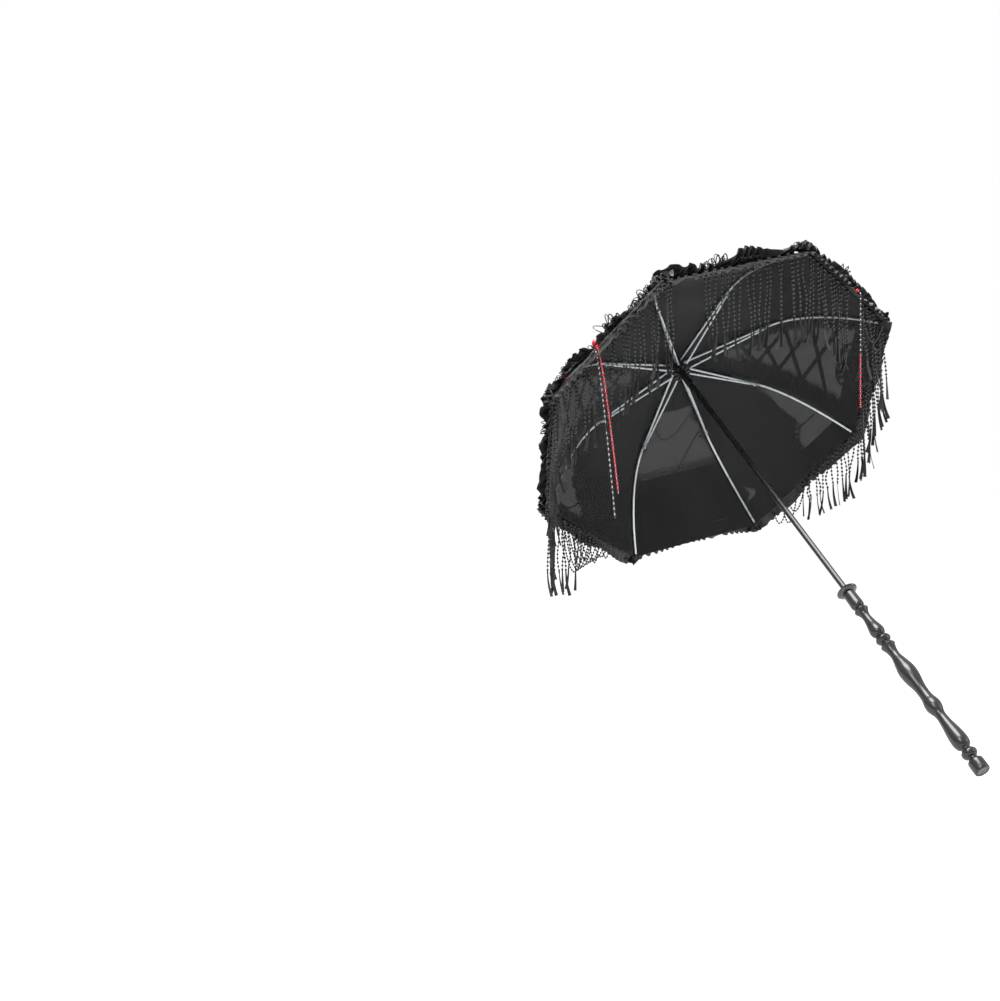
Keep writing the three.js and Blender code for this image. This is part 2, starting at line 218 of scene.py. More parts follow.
# ---- Mesh making ----
class Shape:
    """Collects the points and faces of one piece, with each face's material number."""

    def __init__(self):
        self.points, self.faces, self.kinds, self.count = [], [], [], 0

    def add(self, points, face_groups, kinds=0):
        """Adds points, and groups of faces between them, with one material number or one for each group."""
        points = np.asarray(points, float).reshape(-1, 3)
        for faces, kind in zip(face_groups, np.broadcast_to(kinds, len(face_groups))):
            self.faces.append(np.asarray(faces, int) + self.count)
            self.kinds.append(np.full(len(faces), kind))
        self.points.append(points)
        self.count += len(points)

    def piece(self, name, materials, body, slot, sharp=50):
        mesh = bpy.data.meshes.new(name)
        points = np.concatenate(self.points)
        corners = np.concatenate([f.ravel() for f in self.faces])
        sizes = np.concatenate([np.full(len(f), f.shape[1]) for f in self.faces])
        mesh.vertices.add(len(points))
        mesh.vertices.foreach_set("co", points.ravel())
        mesh.loops.add(len(corners))
        mesh.loops.foreach_set("vertex_index", corners)
        mesh.polygons.add(len(sizes))
        mesh.polygons.foreach_set("loop_start", np.cumsum(sizes) - sizes)
        mesh.polygons.foreach_set("material_index", np.concatenate(self.kinds))
        mesh.update(calc_edges=True)
        mesh.polygons.foreach_set("use_smooth", np.ones(len(sizes), bool))
        mesh.set_sharp_from_angle(angle=math.radians(sharp))
        for material in materials:
            mesh.materials.append(material)
        obj = add_object(name, mesh)
        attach(obj, body)
        return obj


def skin(shape, grid, thickness, kind=0):
    """A closed thin sheet round a grid of points. Returns the sheet's area."""
    rows, columns = grid.shape[:2]
    normals = unit(np.cross(np.gradient(grid, axis=0), np.gradient(grid, axis=1)))
    points = np.concatenate([grid + normals * thickness / 2, grid - normals * thickness / 2])
    index = np.arange(rows * columns).reshape(rows, columns)
    top = np.stack([index[:-1, :-1], index[1:, :-1], index[1:, 1:], index[:-1, 1:]], -1).reshape(-1, 4)
    loop = np.concatenate([index[:-1, 0], index[-1, :-1], index[:0:-1, -1], index[0, :0:-1]])
    after, under = np.roll(loop, -1), rows * columns
    rim = np.stack([after, loop, loop + under, after + under], -1)
    shape.add(points, [top, top[:, ::-1] + under, rim], kind)
    a, b, c, d = (grid.reshape(-1, 3)[top[:, n]] for n in range(4))
    return float(np.linalg.norm(np.cross(c - a, d - b), axis=1).sum() / 2)


def walls(rows, columns, first=0):
    """Faces between rings of points, row by row; the last column joins the first."""
    index = first + np.arange(rows * columns).reshape(rows, columns)
    after = np.roll(index, -1, axis=1)
    return np.stack([index[:-1], index[1:], after[1:], after[:-1]], -1)


def sweep(shape, points, up, outline, size=1.0, kind=0):
    """A closed solid whose cross-section, outline (side, top), follows a line of points."""
    points, outline = np.asarray(points, float), np.asarray(outline, float)
    along = unit(np.gradient(points, axis=0))
    side = unit(np.cross(along, np.broadcast_to(np.asarray(up, float), points.shape)))
    top = np.cross(side, along)
    size = np.broadcast_to(np.asarray(size, float), len(points))[:, None, None]
    rings = points[:, None] + size * (outline[:, :1] * side[:, None] + outline[:, 1:] * top[:, None])
    count, sides = len(points), len(outline)
    start = np.arange(sides)[None]
    end = start[:, ::-1] + (count - 1) * sides
    shape.add(rings, [walls(count, sides).reshape(-1, 4), start, end], kind)


def tube(shape, points, up, radius, sides=4, kind=0):
    angle = 2 * math.pi * np.arange(sides) / sides
    sweep(shape, points, up, radius * np.stack([np.cos(angle), np.sin(angle)], -1), kind=kind)


def ribbon(shape, points, up, width, thickness, size=1.0):
    w, t = width / 2, thickness / 2
    sweep(shape, points, up, [(w, -t), (w, t), (-w, t), (-w, -t)], size)


def at_lengths(at, length, points):
    return np.stack([np.interp(at, length, points[:, n]) for n in range(3)], -1)


def spaced(points, step, offset=0.0):
    """Places along a line of points at every step."""
    points = np.asarray(points, float)
    length = lengths(points)
    return at_lengths(np.arange(offset, length[-1], step), length, points)


def ball(segments=6, rings=4):
    """Points and faces of a small sphere of radius 1."""
    polar = math.pi * np.arange(1, rings)[:, None] / rings
    turn = 2 * math.pi * np.arange(segments) / segments
    ring = [np.sin(polar) * np.cos(turn), np.sin(polar) * np.sin(turn), np.cos(polar) + 0 * turn]
    points = np.concatenate([[[0, 0, 1]], np.stack(ring, -1).reshape(-1, 3), [[0, 0, -1]]])
    here = np.arange(1, segments + 1)
    after, last = np.roll(here, -1), segments * (rings - 2)
    top = np.stack([np.zeros(segments, int), here, after], -1)
    bottom = np.stack([np.full(segments, len(points) - 1), after + last, here + last], -1)
    return points, walls(rings - 1, segments, 1).reshape(-1, 4), np.concatenate([top, bottom])


BALL = ball()
FINE_BALL = ball(8, 6)


def beads(shape, centres, radius, kind=0, model=BALL):
    points, quads, triangles = model
    centres = np.asarray(centres, float).reshape(-1, 3)
    radius = np.broadcast_to(np.asarray(radius, float), len(centres))
    placed = centres[:, None] + points[None] * radius[:, None, None]
    start = (np.arange(len(centres)) * len(points))[:, None, None]
    shape.add(placed, [(quads + start).reshape(-1, 4), (triangles + start).reshape(-1, 3)], kind)


def bead_chain(shape, line, up, radius, pattern):
    """Beads threaded on a line. The pattern is a list of (material number, radius share), repeated."""
    centres = spaced(line, radius * 2.05)
    if len(centres) < 2:
        return
    order = np.arange(len(centres)) % len(pattern)
    for number, (kind, share) in enumerate(pattern):
        chosen = order == number
        if chosen.any():
            beads(shape, centres[chosen], radius * share, kind)
    tube(shape, line, up, radius * 0.3, kind=pattern[-1][0])


# ---- Materials ----
def texture(nodes, links, scale):
    place = nodes.new("ShaderNodeTexCoord")
    noise = nodes.new("ShaderNodeTexNoise")
    noise.inputs["Scale"].default_value = scale
    noise.inputs["Detail"].default_value = 3
    links.new(place.outputs["Object"], noise.inputs["Vector"])
    return noise.outputs["Fac"]


def coloured(nodes, links, value, dark, light, start, end):
    """A colour that follows a value from dark, at start, to light, at end."""
    ramp = nodes.new("ShaderNodeValToRGB")
    for element, place, colour in zip(ramp.color_ramp.elements, (start, end), (dark, light)):
        element.position, element.color = place, (*colour, 1)
    links.new(value, ramp.inputs["Fac"])
    return ramp.outputs["Color"]


def mapped(nodes, links, value, low, high, start=0.0):
    """A number from low to high that follows a value from start to 1."""
    spread = nodes.new("ShaderNodeMapRange")
    for key, number in (("From Min", start), ("To Min", low), ("To Max", high)):
        spread.inputs[key].default_value = number
    links.new(value, spread.inputs["Value"])
    return spread.outputs["Result"]


def mixed(nodes, links, share, first, second):
    mix = nodes.new("ShaderNodeMixShader")
    for number, source in enumerate((share, first, second)):
        links.new(source, mix.inputs[number])
    return mix.outputs[0]


def grey(value):
    """A black or grey with a breath of blue."""
    return value, value, value * 1.04


def material(name, dark, light, roughness, scale=60.0, bump=0.0, grain=900.0, rough_range=0.1, **inputs):
    """A finish whose colour and roughness vary over the surface, with a fine grain raised as bump."""
    made = bpy.data.materials.new(name)
    made.use_nodes = True
    nodes, links = made.node_tree.nodes, made.node_tree.links
    shader = nodes["Principled BSDF"]
    cloudy = texture(nodes, links, scale)
    dark, light = (colour if isinstance(colour, tuple) else grey(colour) for colour in (dark, light))
    links.new(coloured(nodes, links, cloudy, dark, light, 0.35, 0.7), shader.inputs["Base Color"])
    smoothest = max(0.02, roughness - rough_range)
    links.new(mapped(nodes, links, cloudy, smoothest, roughness + rough_range), shader.inputs["Roughness"])
    if bump:
        raised = nodes.new("ShaderNodeBump")
        raised.inputs["Strength"].default_value = bump
        raised.inputs["Distance"].default_value = 0.0004
        links.new(texture(nodes, links, grain), raised.inputs["Height"])
        links.new(raised.outputs["Normal"], shader.inputs["Normal"])
    for key, value in inputs.items():
        shader.inputs[key.replace("_", " ")].default_value = value
    return made


def see_through(made, low, high):
    """Lets a share of the light straight through, as a thin open weave does."""
    nodes, links = made.node_tree.nodes, made.node_tree.links
    clear = nodes.new("ShaderNodeBsdfTransparent")
    share = mapped(nodes, links, texture(nodes, links, 35), low, high)
    mix = mixed(nodes, links, share, nodes["Principled BSDF"].outputs[0], clear.outputs[0])
    links.new(mix, nodes["Material Output"].inputs["Surface"])
    return made


def satin(name, share):
    """The canopy's cloth, which lets about this share of the light through."""
    made = material(name, 0.008, 0.012, 0.42, 18, 0.15, 1400, Sheen_Weight=0.12, Specular_IOR_Level=0.25)
    return see_through(made, share * 0.85, share * 1.15)


# The second satin lets less light through; it paints shade on gores 8, 1 and 2, whose real cloth is the same
# as the rest.
SATIN, SHADED_SATIN = satin("satin", 0.20), satin("shaded_satin", 0.065)
FRILL = material("frill_satin", 0.009, 0.018, 0.36, 40, 0.2, 1500, Sheen_Weight=0.2, Specular_IOR_Level=0.5)
PLEAT = material(
    "pleated_lace", 0.004, 0.010, 0.45, 220, 0.6, 1200, Sheen_Weight=0.08, Specular_IOR_Level=0.25
)
CORD = material("lace_cord", 0.010, 0.022, 0.42, 300, 0.8, 2600, Specular_IOR_Level=0.5)
NET = material("lace_net", 0.008, 0.016, 0.6, 400, 0.8, 1800, Specular_IOR_Level=0.25)
see_through(NET, 0.1, 0.345)
WINE_DARK, WINE_LIGHT = (0.10, 0.003, 0.010), (0.19, 0.006, 0.02)
WINE = material("wine_satin", WINE_DARK, WINE_LIGHT, 0.4, 90, 0.3, 1500, Sheen_Weight=0.2)
RIBBON = material("ribbon", 0.006, 0.012, 0.32, 50, 0.25, 1700, Sheen_Weight=0.06, Specular_IOR_Level=0.45)
JET = material("jet_bead", 0.006, 0.014, 0.25, 500, Coat_Weight=0.45)
RED = material("red_bead", (0.50, 0.002, 0.012), (0.72, 0.006, 0.03), 0.22, 400, Coat_Weight=0.5)
SILVER = material("silver_bead", (0.5, 0.5, 0.5), (0.75, 0.75, 0.76), 0.25, 400, Metallic=1.0)
THREAD = material("tassel_thread", 0.006, 0.012, 0.6, 500, 0.6, 2000)
STEEL = material("plated_steel", (0.50, 0.54, 0.56), (0.61, 0.65, 0.67), 0.3, 120, 0.1, 900, Metallic=0.75)
ENAMEL = material("black_enamel", 0.008, 0.013, 0.28, 70, 0.04, 1200, 0.03, Coat_Weight=0.3)
MOULDED = material("black_plastic", 0.008, 0.013, 0.42, 130, 0.25, 1600)
LACQUER = material(
    "black_lacquer", 0.008, 0.013, 0.25, 45, 0.04, 1100, 0.03, Coat_Weight=0.4, Coat_Roughness=0.12
)
GLOSS = material("polished_ball", 0.012, 0.02, 0.08, 60, rough_range=0.03, Coat_Weight=1.0)
DISC = material("end_disc", 0.10, 0.16, 0.35, 200, 0.2, 1500, Metallic=0.6)


# ---- Pieces sewn to the cloth beside a rib ----
CLOTH_THICKNESS, TRIM_THICKNESS = 0.0003, 0.0004
FRILL_INSET = 0.006  # from the hem up to the line that the lowest frill is sewn along
PICOT_RADIUS = 0.0008


def furl(obj):
    """Gives the piece its own copy of its mesh."""
    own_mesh(obj)
    return obj


def sewn(shape, name, rib, finishes, slot="satin_lace"):
    """Makes the shape a piece that rides on its rib."""
    return furl(shape.piece(f"{name}_{rib}", finishes, f"rib_{rib}", slot))


def strip_piece(name, rib, grid, finish):
    shape = Shape()
    area = skin(shape, grid, TRIM_THICKNESS)
    sewn(shape, name, rib, [finish])


def make_cloth(rib):
    """The canopy's satin, from one gore's middle to the next one's. On gores 8, 1 and 2 it lets less light
    through: painted shade for those upper gores, whose cloth is the same as the rest.
    """
    shape = Shape()
    share = np.linspace(-1, 1, 33)[None]
    s = np.concatenate([np.linspace(CLOTH_START, 0.16, 16), np.linspace(0.17, HEM, 34)])[:, None]
    crease = wave(rib + share / 2, 11, 6, 5) * 0.0009 * np.clip(s / HEM, 0, 1) ** 2
    area = skin(shape, sector_points(rib, share, s, crease), CLOTH_THICKNESS)
    cloth = sewn(shape, "cloth", rib, [SATIN, SHADED_SATIN])
    # Gores 8, 1 and 2 take the less see-through satin as painted shade.
    for face in cloth.data.polygons if rib in (8, 1, 2, 3) else ():
        across = (face.center - Vector(CROWN)).dot(Vector(tangent_of(rib)))
        face.material_index = int(rib in (1, 2) or (across > 0) == (rib == 8))
    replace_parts(cloth, f"canopy_{rib}")


def flare(turn):
    """How far the rim's frill turns from lying along the cloth, 0, to standing straight out from it, 1."""
    return 0.9 * mound(turn, 5.55, 0.56) + 0.35 * mound(turn, 4.5, 0.5)


def frill_grid(rib, s, width, waves, swell, lift, seed, droop=0.0, stand=0.0):
    """A gathered strip: sewn along the line at s and waving more towards its free edge."""
    share = np.linspace(-1, 1, waves * 9 + 1)
    turn = rib + share / 2
    start, out, up = sector_lines(rib, share, s)
    along = unit(np.gradient(start, axis=0))
    turned = np.clip(flare(turn) + stand * (1 + 0.5 * wave(turn, seed + 3, 5, 7)), 0, 0.95)[:, None]
    out, up = unit(out * (1 - turned) + up * turned), unit(up * (1 - turned) - out * turned)
    phase = 2 * math.pi * waves * turn + 3.6 * wave(turn, seed, 7, 5)
    height = 0.75 + 0.55 * wave(turn, seed + 1, 6, 7)
    grid = []
    for v in np.linspace(0, 1, 7):
        wide = width * v * (1 + 0.14 * wave(turn, seed + 2, 5, 9))
        fold = np.sin(phase + 0.7 * v) + 0.15 * np.sin(2 * phase + 1 + v)
        rise = swell * (0.12 + 0.88 * v**0.8) * height * fold
        lean = -0.4 * swell * v * np.sin(2 * phase)
        fall = DOWN * droop * width * v**2
        point = start + out * wide[:, None] + up * (rise + lift)[:, None]
        grid.append(point + along * lean[:, None] + fall)
    return np.array(grid)


def make_hem(rib):
    """The gathered satin frill round the rim, and a narrower one over it."""
    lower = frill_grid(rib, HEM - FRILL_INSET, 0.024, 18, 0.0036, 0.0035, 21, droop=0.15)
    upper = frill_grid(rib, HEM - 0.022, 0.033, 13, 0.0044, 0.0060, 31, stand=0.33)
    strip_piece("frill", rib, lower, FRILL)
    strip_piece("over_frill", rib, upper, FRILL)


def loops_along(shape, start, out, up, width, height, radius, kind, seed, lean):
    """A row of small thread loops off a line, which lean from its outward to its raised direction."""
    random = np.random.default_rng(seed)
    length, turn = lengths(start), np.linspace(0, 1, 8)
    for at in np.arange(0, length[-1] - width * 0.7, width * 0.8):
        here = at + width * (turn - 0.12 * np.sin(2 * math.pi * turn))
        base, outward, raised = (at_lengths(here, length, lines) for lines in (start, out, up))
        tall = height * random.uniform(0.6, 1.25) * np.sin(math.pi * turn) ** 0.7
        tip = random.uniform(lean - 0.4, lean + 0.4)
        line = base + outward * (tall * math.cos(tip))[:, None] + raised * (tall * math.sin(tip))[:, None]
        tube(shape, line, raised + outward * 0.3, radius, kind=kind)


def make_picot(rib):
    """Loops of black cord and beaded wire that stand in tufts along the rim's frills."""
    shape = Shape()
    random = np.random.default_rng(40 + rib)
    share = np.linspace(-1, 1, 120)
    turn = rib + share / 2
    start, out, up = sector_lines(rib, share, HEM - FRILL_INSET)
    base = start - out * 0.022 + up * 0.005
    loops_along(shape, base, out, up, 0.008, 0.009, PICOT_RADIUS, 0, 50 + rib, 1.0)
    round_ = np.linspace(-0.4, math.pi + 0.4, 9)
    for at in np.arange(4, 114, 1.5):
        n = int(at + random.integers(0, 3))
        flattened = 1 - 0.75 * mound(turn[n], 5.5, 0.55)
        tall = 0.021 * (0.5 + 0.7 * wave(turn[n], 43, 6, 9)) * flattened
        if tall < 0.004:
            continue
        side = unit(start[n + 1] - start[n - 1])
        tip = random.uniform(0.3, 1.5)
        way = unit(out[n] * math.cos(tip) + up[n] * math.sin(tip) + side * random.uniform(-0.5, 0.5))
        wide = random.uniform(0.003, 0.0065)
        ring = np.outer(np.cos(round_) * wide, side) + np.outer((np.sin(round_) + 0.4) / 1.4 * tall, way)
        ring += start[n] + (up[n] - out[n]) * 0.008
        tube(shape, ring, up[n] + out[n] * 0.3, PICOT_RADIUS)
        if random.uniform() < 0.4:
            beads(shape, spaced(ring, 0.0034), 0.0014, 1)
    sewn(shape, "picot", rib, [CORD, JET])


# ---- Corded lace on the four slanting gores ----
# m runs across a gore, from -1 at its edge by a laced gore to 1 at its edge by a plain one. Places down the
# gore are shares of the distance from the crown to the hem. The side says which way m runs on each gore.
LACE_SIDES = {2: -1, 4: 1, 6: -1, 8: 1}
# How far down the lace reaches at places m: on most gores, and on gore 4, which shows windows of bare satin.
LACE_REACH = (
    [-1, -0.85, -0.65, -0.5, -0.33, -0.28, -0.2, 1],
    [0.6, 0.64, 0.72, 0.83, 0.86, 0.93, 1, 1],
)
OPEN_REACH = (
    [-1, -0.86, -0.76, -0.69, -0.63, -0.6, -0.42, -0.3, -0.22, 0.6, 0.68, 0.85, 0.93, 1],
    [0.25, 0.32, 0.41, 0.5, 0.61, 0.73, 0.78, 0.84, 1, 1, 0.78, 0.76, 0.88, 0.95],
)
RING_PITCH = 0.0095  # between the rings along the lace's edge
LACE_START = 0.028  # from the crown to the lace net
CORD_RADIUS = 0.0009
EDGE_LIFT = 0.0016  # of the edge's cord and rings above the cloth
# Roses: m, distance, radius in mm.
ROSES = [
    (0.35, 0.61, 14), (0.12, 0.77, 16), (-0.5, 0.65, 13), (-0.2, 0.84, 12), (1.0, 0.34, 15),
    (0.9, 0.57, 13), (0.5, 0.25, 9), (-0.5, 0.42, 10), (-0.95, 0.5, 9), (0.1, 0.46, 9), (-0.15, 0.3, 7),
]
# Each stem's places: m, distance.
STEMS = [
    [
        (0.0, 0.15), (0.3, 0.25), (0.47, 0.35), (0.5, 0.45),
        (0.48, 0.53), (0.42, 0.63), (0.2, 0.7), (-0.05, 0.74),
    ],
    [(0.5, 0.44), (0.7, 0.5), (0.95, 0.5), (1.2, 0.46)],
    [(0.1, 0.14), (0.6, 0.24), (0.95, 0.28), (1.25, 0.33)],
    [(-0.1, 0.15), (-0.5, 0.28), (-0.75, 0.4), (-0.8, 0.5), (-0.7, 0.6), (-0.55, 0.7), (-0.6, 0.76)],
    [(-0.1, 0.3), (-0.3, 0.42), (-0.25, 0.52), (0.0, 0.56), (0.2, 0.52)],
    [(0.42, 0.63), (0.6, 0.7), (0.75, 0.73)],
]
# Dark red inserts: m, distance, degrees turned, length and width in mm.
WINE_PLACES = [
    (0.28, 0.54, -4, 35, 9), (0.22, 0.385, 10, 30, 10), (-0.48, 0.526, 6, 35, 11), (-0.25, 0.85, -8, 18, 7),
    (-0.45, 0.38, -20, 24, 8), (-0.18, 0.26, 20, 20, 8), (0.2, 0.87, 30, 12, 5), (-0.47, 0.66, 40, 10, 5),
    (-0.6, 0.6, 10, 8, 5), (0.62, 0.27, -10, 10, 4), (-0.1, 0.2, 0, 9, 4), (0.6, 0.46, 15, 22, 7),
]


def next_rib(gore):
    return gore % 8 + 1


def flowing(points, per=6):
    """A soft curve through the points."""
    points = np.asarray(points, float)
    padded = np.concatenate([[2 * points[0] - points[1]], points, [2 * points[-1] - points[-2]]])
    made = []
    for a, b, c, d in zip(padded, padded[1:], padded[2:], padded[3:]):
        for t in np.arange(per) / per:
            cubic = (2 * a - 5 * b + 4 * c - d) * t**2 + (3 * b - a - 3 * c + d) * t**3
            made.append(b + 0.5 * ((c - a) * t + cubic))
    return np.array([*made, points[-1]])


def lace_limit(gore, m):
    """How far down the gore the lace reaches, with scallops."""
    reach = OPEN_REACH if gore == 4 else LACE_REACH
    bumpy = m + 0.02 * np.sin(50 * m + gore)
    return np.minimum(np.interp(bumpy, *reach) + 0.03 * np.abs(np.sin(20 * m)) - 0.015, 1)


def on_panel(gore, x, s, lift):
    """(rib, places, normals) for x across a gore, which may run over the rib to the next panel."""
    side = 1 if np.sum(x) > 0 else -1
    rib = next_rib(gore) if side > 0 else gore
    share = np.clip(x / half_width(s) - side, -1, 1)
    return rib, sector_points(rib, share, s, lift), sector_normals(rib, share, s)


def halves(x, s):
    """Cuts a line where it crosses the gore's middle, x = 0, which is where one rib's cloth ends."""
    for n in np.flatnonzero(x[:-1] * x[1:] < 0)[::-1]:
        middle = s[n] + (s[n + 1] - s[n]) * x[n] / (x[n] - x[n + 1])
        x, s = np.insert(x, n + 1, 0.0), np.insert(s, n + 1, middle)
    ends = np.unique([0, *np.flatnonzero(x == 0), len(x) - 1])
    return [(x[a : b + 1], s[a : b + 1]) for a, b in zip(ends, ends[1:])]


def lay(shapes, gore, x, s, lift, radius=CORD_RADIUS, wide=0.0, twist=0.0):
    """A cord, or a ribbon if it is given a width, sewn along flat panel places."""
    for part_x, part_s in halves(np.asarray(x, float), np.asarray(s, float)):
        rib, line, up = on_panel(gore, part_x, part_s, lift)
        if wide:
            lean = twist * np.sin(9 * part_s / HEM + part_x * 30)[:, None]
            up = unit(up + lean * np.gradient(line, axis=0) * 150)
            ribbon(shapes[rib], line, up, wide, 0.0006)
        else:
            tube(shapes[rib], line, up, radius)


def placed(motif, x, s, size, turn):
    """A motif's lines, turned and scaled about a place on the flat panel."""
    c, n = math.cos(turn), math.sin(turn)
    return [(x + size * (a * c - b * n), s + size * (a * n + b * c)) for a, b in motif]


def rose():
    turn = np.linspace(0, 2 * math.pi, 25)
    rings = []
    for radius, petals, phase in ((1.0, 7, 0.3), (0.72, 5, 1.2), (0.46, 4, 2.0), (0.2, 3, 0.7)):
        r = radius * (0.9 + 0.2 * np.abs(np.sin(petals * turn / 2 + phase)))
        rings.append((r * np.cos(turn), r * np.sin(turn)))
    return rings


def scroll():
    turn = np.linspace(0, 3.6 * math.pi / 2, 20)
    curls = []
    for gap in (0.0, 0.22):
        r = (1 - gap) * (1 - 0.68 * turn / turn[-1])
        curls.append((r * np.cos(turn) - 0.2, r * np.sin(turn)))
    return curls


def leaf():
    t = np.linspace(0, 1, 8)
    wide = 0.24 * np.sin(math.pi * t**0.8)
    lines = [(wide, t), (-wide, t), (0.02 * np.sin(6 * t), t)]
    for at in (0.3, 0.5, 0.7):
        reach = 0.17 * math.sin(math.pi * at) * np.array([0, 0.6, 1])
        for side in (-1, 1):
            lines.append((side * reach, at + np.array([0, 0.07, 0.1])))
    return lines


def daisy():
    turn = np.linspace(0, 2 * math.pi, 31)
    r = 0.35 + 0.65 * np.abs(np.cos(2.5 * turn))
    return [(r * np.cos(turn), r * np.sin(turn))]


# Motif, radius, number of throws, and the gap that it keeps as a share of both radii.
SMALL_MOTIFS = ((scroll, 0.010, 120, 0.85), (leaf, 0.022, 260, 0.42), (daisy, 0.006, 900, 0.9))


def lace_places(gore, random):
    """The motifs: the roses, then scrolls, leaves and daisies thrown into what room is left."""
    kept = [(rose, m, share, size / 1000, random.uniform(0, 6)) for m, share, size in ROSES]
    for kind, size, tries, room in SMALL_MOTIFS:
        for _ in range(tries):
            m, share = random.uniform(-1, 1), random.uniform(0.14, 0.95)
            if share > lace_limit(gore, m) - size * 0.5 / HEM:
                continue
            here = (m * half_width(share * HEM), share * HEM)
            others = [(o[1] * half_width(o[2] * HEM), o[2] * HEM) for o in kept]
            if all(math.dist(here, there) > room * (size + o[3]) for there, o in zip(others, kept)):
                kept.append((kind, m, share, size, random.uniform(0, 6.28)))
    return kept


def lace_cords(shapes, gore, side):
    """The lace's stems and motifs, the cord along its edge, and the rings outside that."""
    random = np.random.default_rng(7 + gore)
    for stem in STEMS:
        m, share = flowing(stem).T
        x = m * half_width(share * HEM)
        for gap in (-0.0025, 0, 0.0025):
            lay(shapes, gore, side * (x + gap), share * HEM + 0.4 * gap, 0.0026, CORD_RADIUS * 1.15)
    for kind, m, share, size, turn in lace_places(gore, random):
        x, s = m * half_width(share * HEM), share * HEM
        lift = 0.0019 + 0.0012 * (kind is rose)
        for a, b in placed(kind(), x, s, size, turn):
            lay(shapes, gore, side * a, np.clip(b, 0.03, HEM), lift)
    m = np.linspace(-1, 1, 300)
    s = lace_limit(gore, m) * HEM
    lay(shapes, gore, side * m * half_width(s), s, EDGE_LIFT, CORD_RADIUS * 1.2)
    for place in ring_places(m * half_width(s), s, random):
        lace_ring(shapes, gore, side, random, *place)


def ring_places(x, s, random):
    """Where the rings sit, along the lace's edge and along the rib, each with the edge's direction."""
    edge = spaced(np.stack([x, s, 0 * s], -1), RING_PITCH)
    ways = unit(np.gradient(edge, axis=0))
    places = [(x, s, *way[:2]) for (x, s, _), way in zip(edge, ways) if s < HEM - 0.01]
    for s in np.arange(0.2, 0.62, 0.032) * HEM:
        places.append((half_width(s) + random.uniform(-0.002, 0.003), s, 1, 0))
    return places


def lace_ring(shapes, gore, side, random, x, s, across, down):
    """Two rings of cord, one inside the other, pushed out from the edge. Most are filled with net."""
    turn = np.linspace(0, 2 * math.pi, 19)
    wide = random.uniform(0.0035, 0.0085) * (1.5 if x > half_width(s) - 0.003 else 1)
    push = random.uniform(-0.1, 0.9) * wide
    x, s = x - down * push, s + across * push
    filled = random.uniform() < 0.6
    for share in (1, 0.55):
        r = wide * share * (0.85 + 0.15 * np.cos(5 * turn))
        lay(shapes, gore, side * (x + r * np.cos(turn)), s + r * np.sin(turn), EDGE_LIFT)
    fill = np.linspace(0.1, 1, 3)[:, None]
    fill_x, fill_s = x + wide * fill * np.cos(turn), s + wide * fill * np.sin(turn)
    if filled and (np.all(fill_x > 0) or np.all(fill_x < 0)):
        rib, places, _ = on_panel(gore, side * fill_x, fill_s, 0.0012)
        skin(shapes[rib], places, CLOTH_THICKNESS, 1)


def lace_net(gore, side):
    """The fine net under the cords, one strip to each sector."""
    for rib, low, high in ((gore, -1, 0), (next_rib(gore), 0, 1)):
        shape = Shape()
        q = np.linspace(low, high, 60)[None]
        share = np.linspace(0, 1, 16)[:, None]
        s = LACE_START + share * (lace_limit(gore, side * q) * HEM - LACE_START)
        area = skin(shape, gore_points(gore, q * half_width(s), s, 0.0010), 0.00025)
        sewn(shape, "lace_net", rib, [NET])


def wine_patches(shapes, gore, side):
    """Dark red satin lozenges let into the lace."""
    t = np.linspace(0, 1, 9)[None]
    across = np.linspace(-1, 1, 5)[:, None]
    for m, share, degrees, length, width in WINE_PLACES:
        turn = math.radians(degrees)
        a = width / 2000 * across * np.sin(math.pi * t) ** 0.7 * (1 + 0.22 * np.sin(5 * math.pi * t))
        b = length / 1000 * (t - 0.5 + 0 * across)
        x = m * half_width(share * HEM) + a * math.cos(turn) - b * math.sin(turn)
        s = share * HEM + a * math.sin(turn) + b * math.cos(turn)
        x = np.maximum(x, 0.0002) if m > 0 else np.minimum(x, -0.0002)
        rib, places, _ = on_panel(gore, side * x, s, 0.0022)
        skin(shapes[rib], places, TRIM_THICKNESS, 2)
        for edge in (0, -1):
            lay(shapes, gore, side * x[edge], s[edge], 0.0026)


def make_lace():
    shapes = {rib: Shape() for rib in RIBS}
    for gore, side in LACE_SIDES.items():
        lace_net(gore, side)
        wine_patches(shapes, gore, side)
        lace_cords(shapes, gore, side)
    for rib in RIBS:
        sewn(shapes[rib], "lace", rib, [CORD, NET, WINE])


# ---- Pleated bands along the laced gores, and their ribbon lacing ----
# Each band's two edges, as distances from its rib at the rim.
BANDS = {3: (-0.014, 0.029), 4: (-0.050, -0.004), 7: (0.004, 0.050), 8: (-0.029, 0.014)}
LACE_STOPS = np.array([0.33, 0.435, 0.55, 0.675, 0.81]) * HEM


def band_scale(s):
    """How much of its width at the rim a band has at distance s."""
    return np.clip(half_width(s) / 0.055, 0.3, 1)


def make_band(rib):
    """A pleated lace band sewn beside a rib from the crown to the rim, with a looped cord on both edges."""
    shape = Shape()
    low, high = BANDS[rib]
    s = np.linspace(0.045, HEM - 0.004, 220)[:, None]
    across = np.linspace(0, 1, 17)[None]
    offset = (low + (high - low) * across) * band_scale(s) * (1 + 0.04 * np.sin(s * 210 + rib))
    share = np.clip(offset / half_width(s), -1, 1)
    area = skin(shape, sector_points(rib, share, s, 0.0035 + band_folds(rib, s, across)), TRIM_THICKNESS)
    line = s[:, 0]
    for edge, way in ((0, -1), (-1, 1)):
        start = sector_points(rib, share[:, edge], line, 0.0050)
        up = sector_normals(rib, share[:, edge], line)
        out = tangent_of(rib) * way + 0 * start
        loops_along(shape, start, out, up, 0.0055, 0.0045, 0.0006, 1, 80 + rib, 0.1)
        for inset in (0.004, 0.0075):
            inner = start - out * inset + up * (0.0028 + 0.0008 * np.sin(line * 900)[:, None])
            tube(shape, inner, up, 0.0008, kind=1)
    sewn(shape, "pleated_band", rib, [PLEAT, CORD])


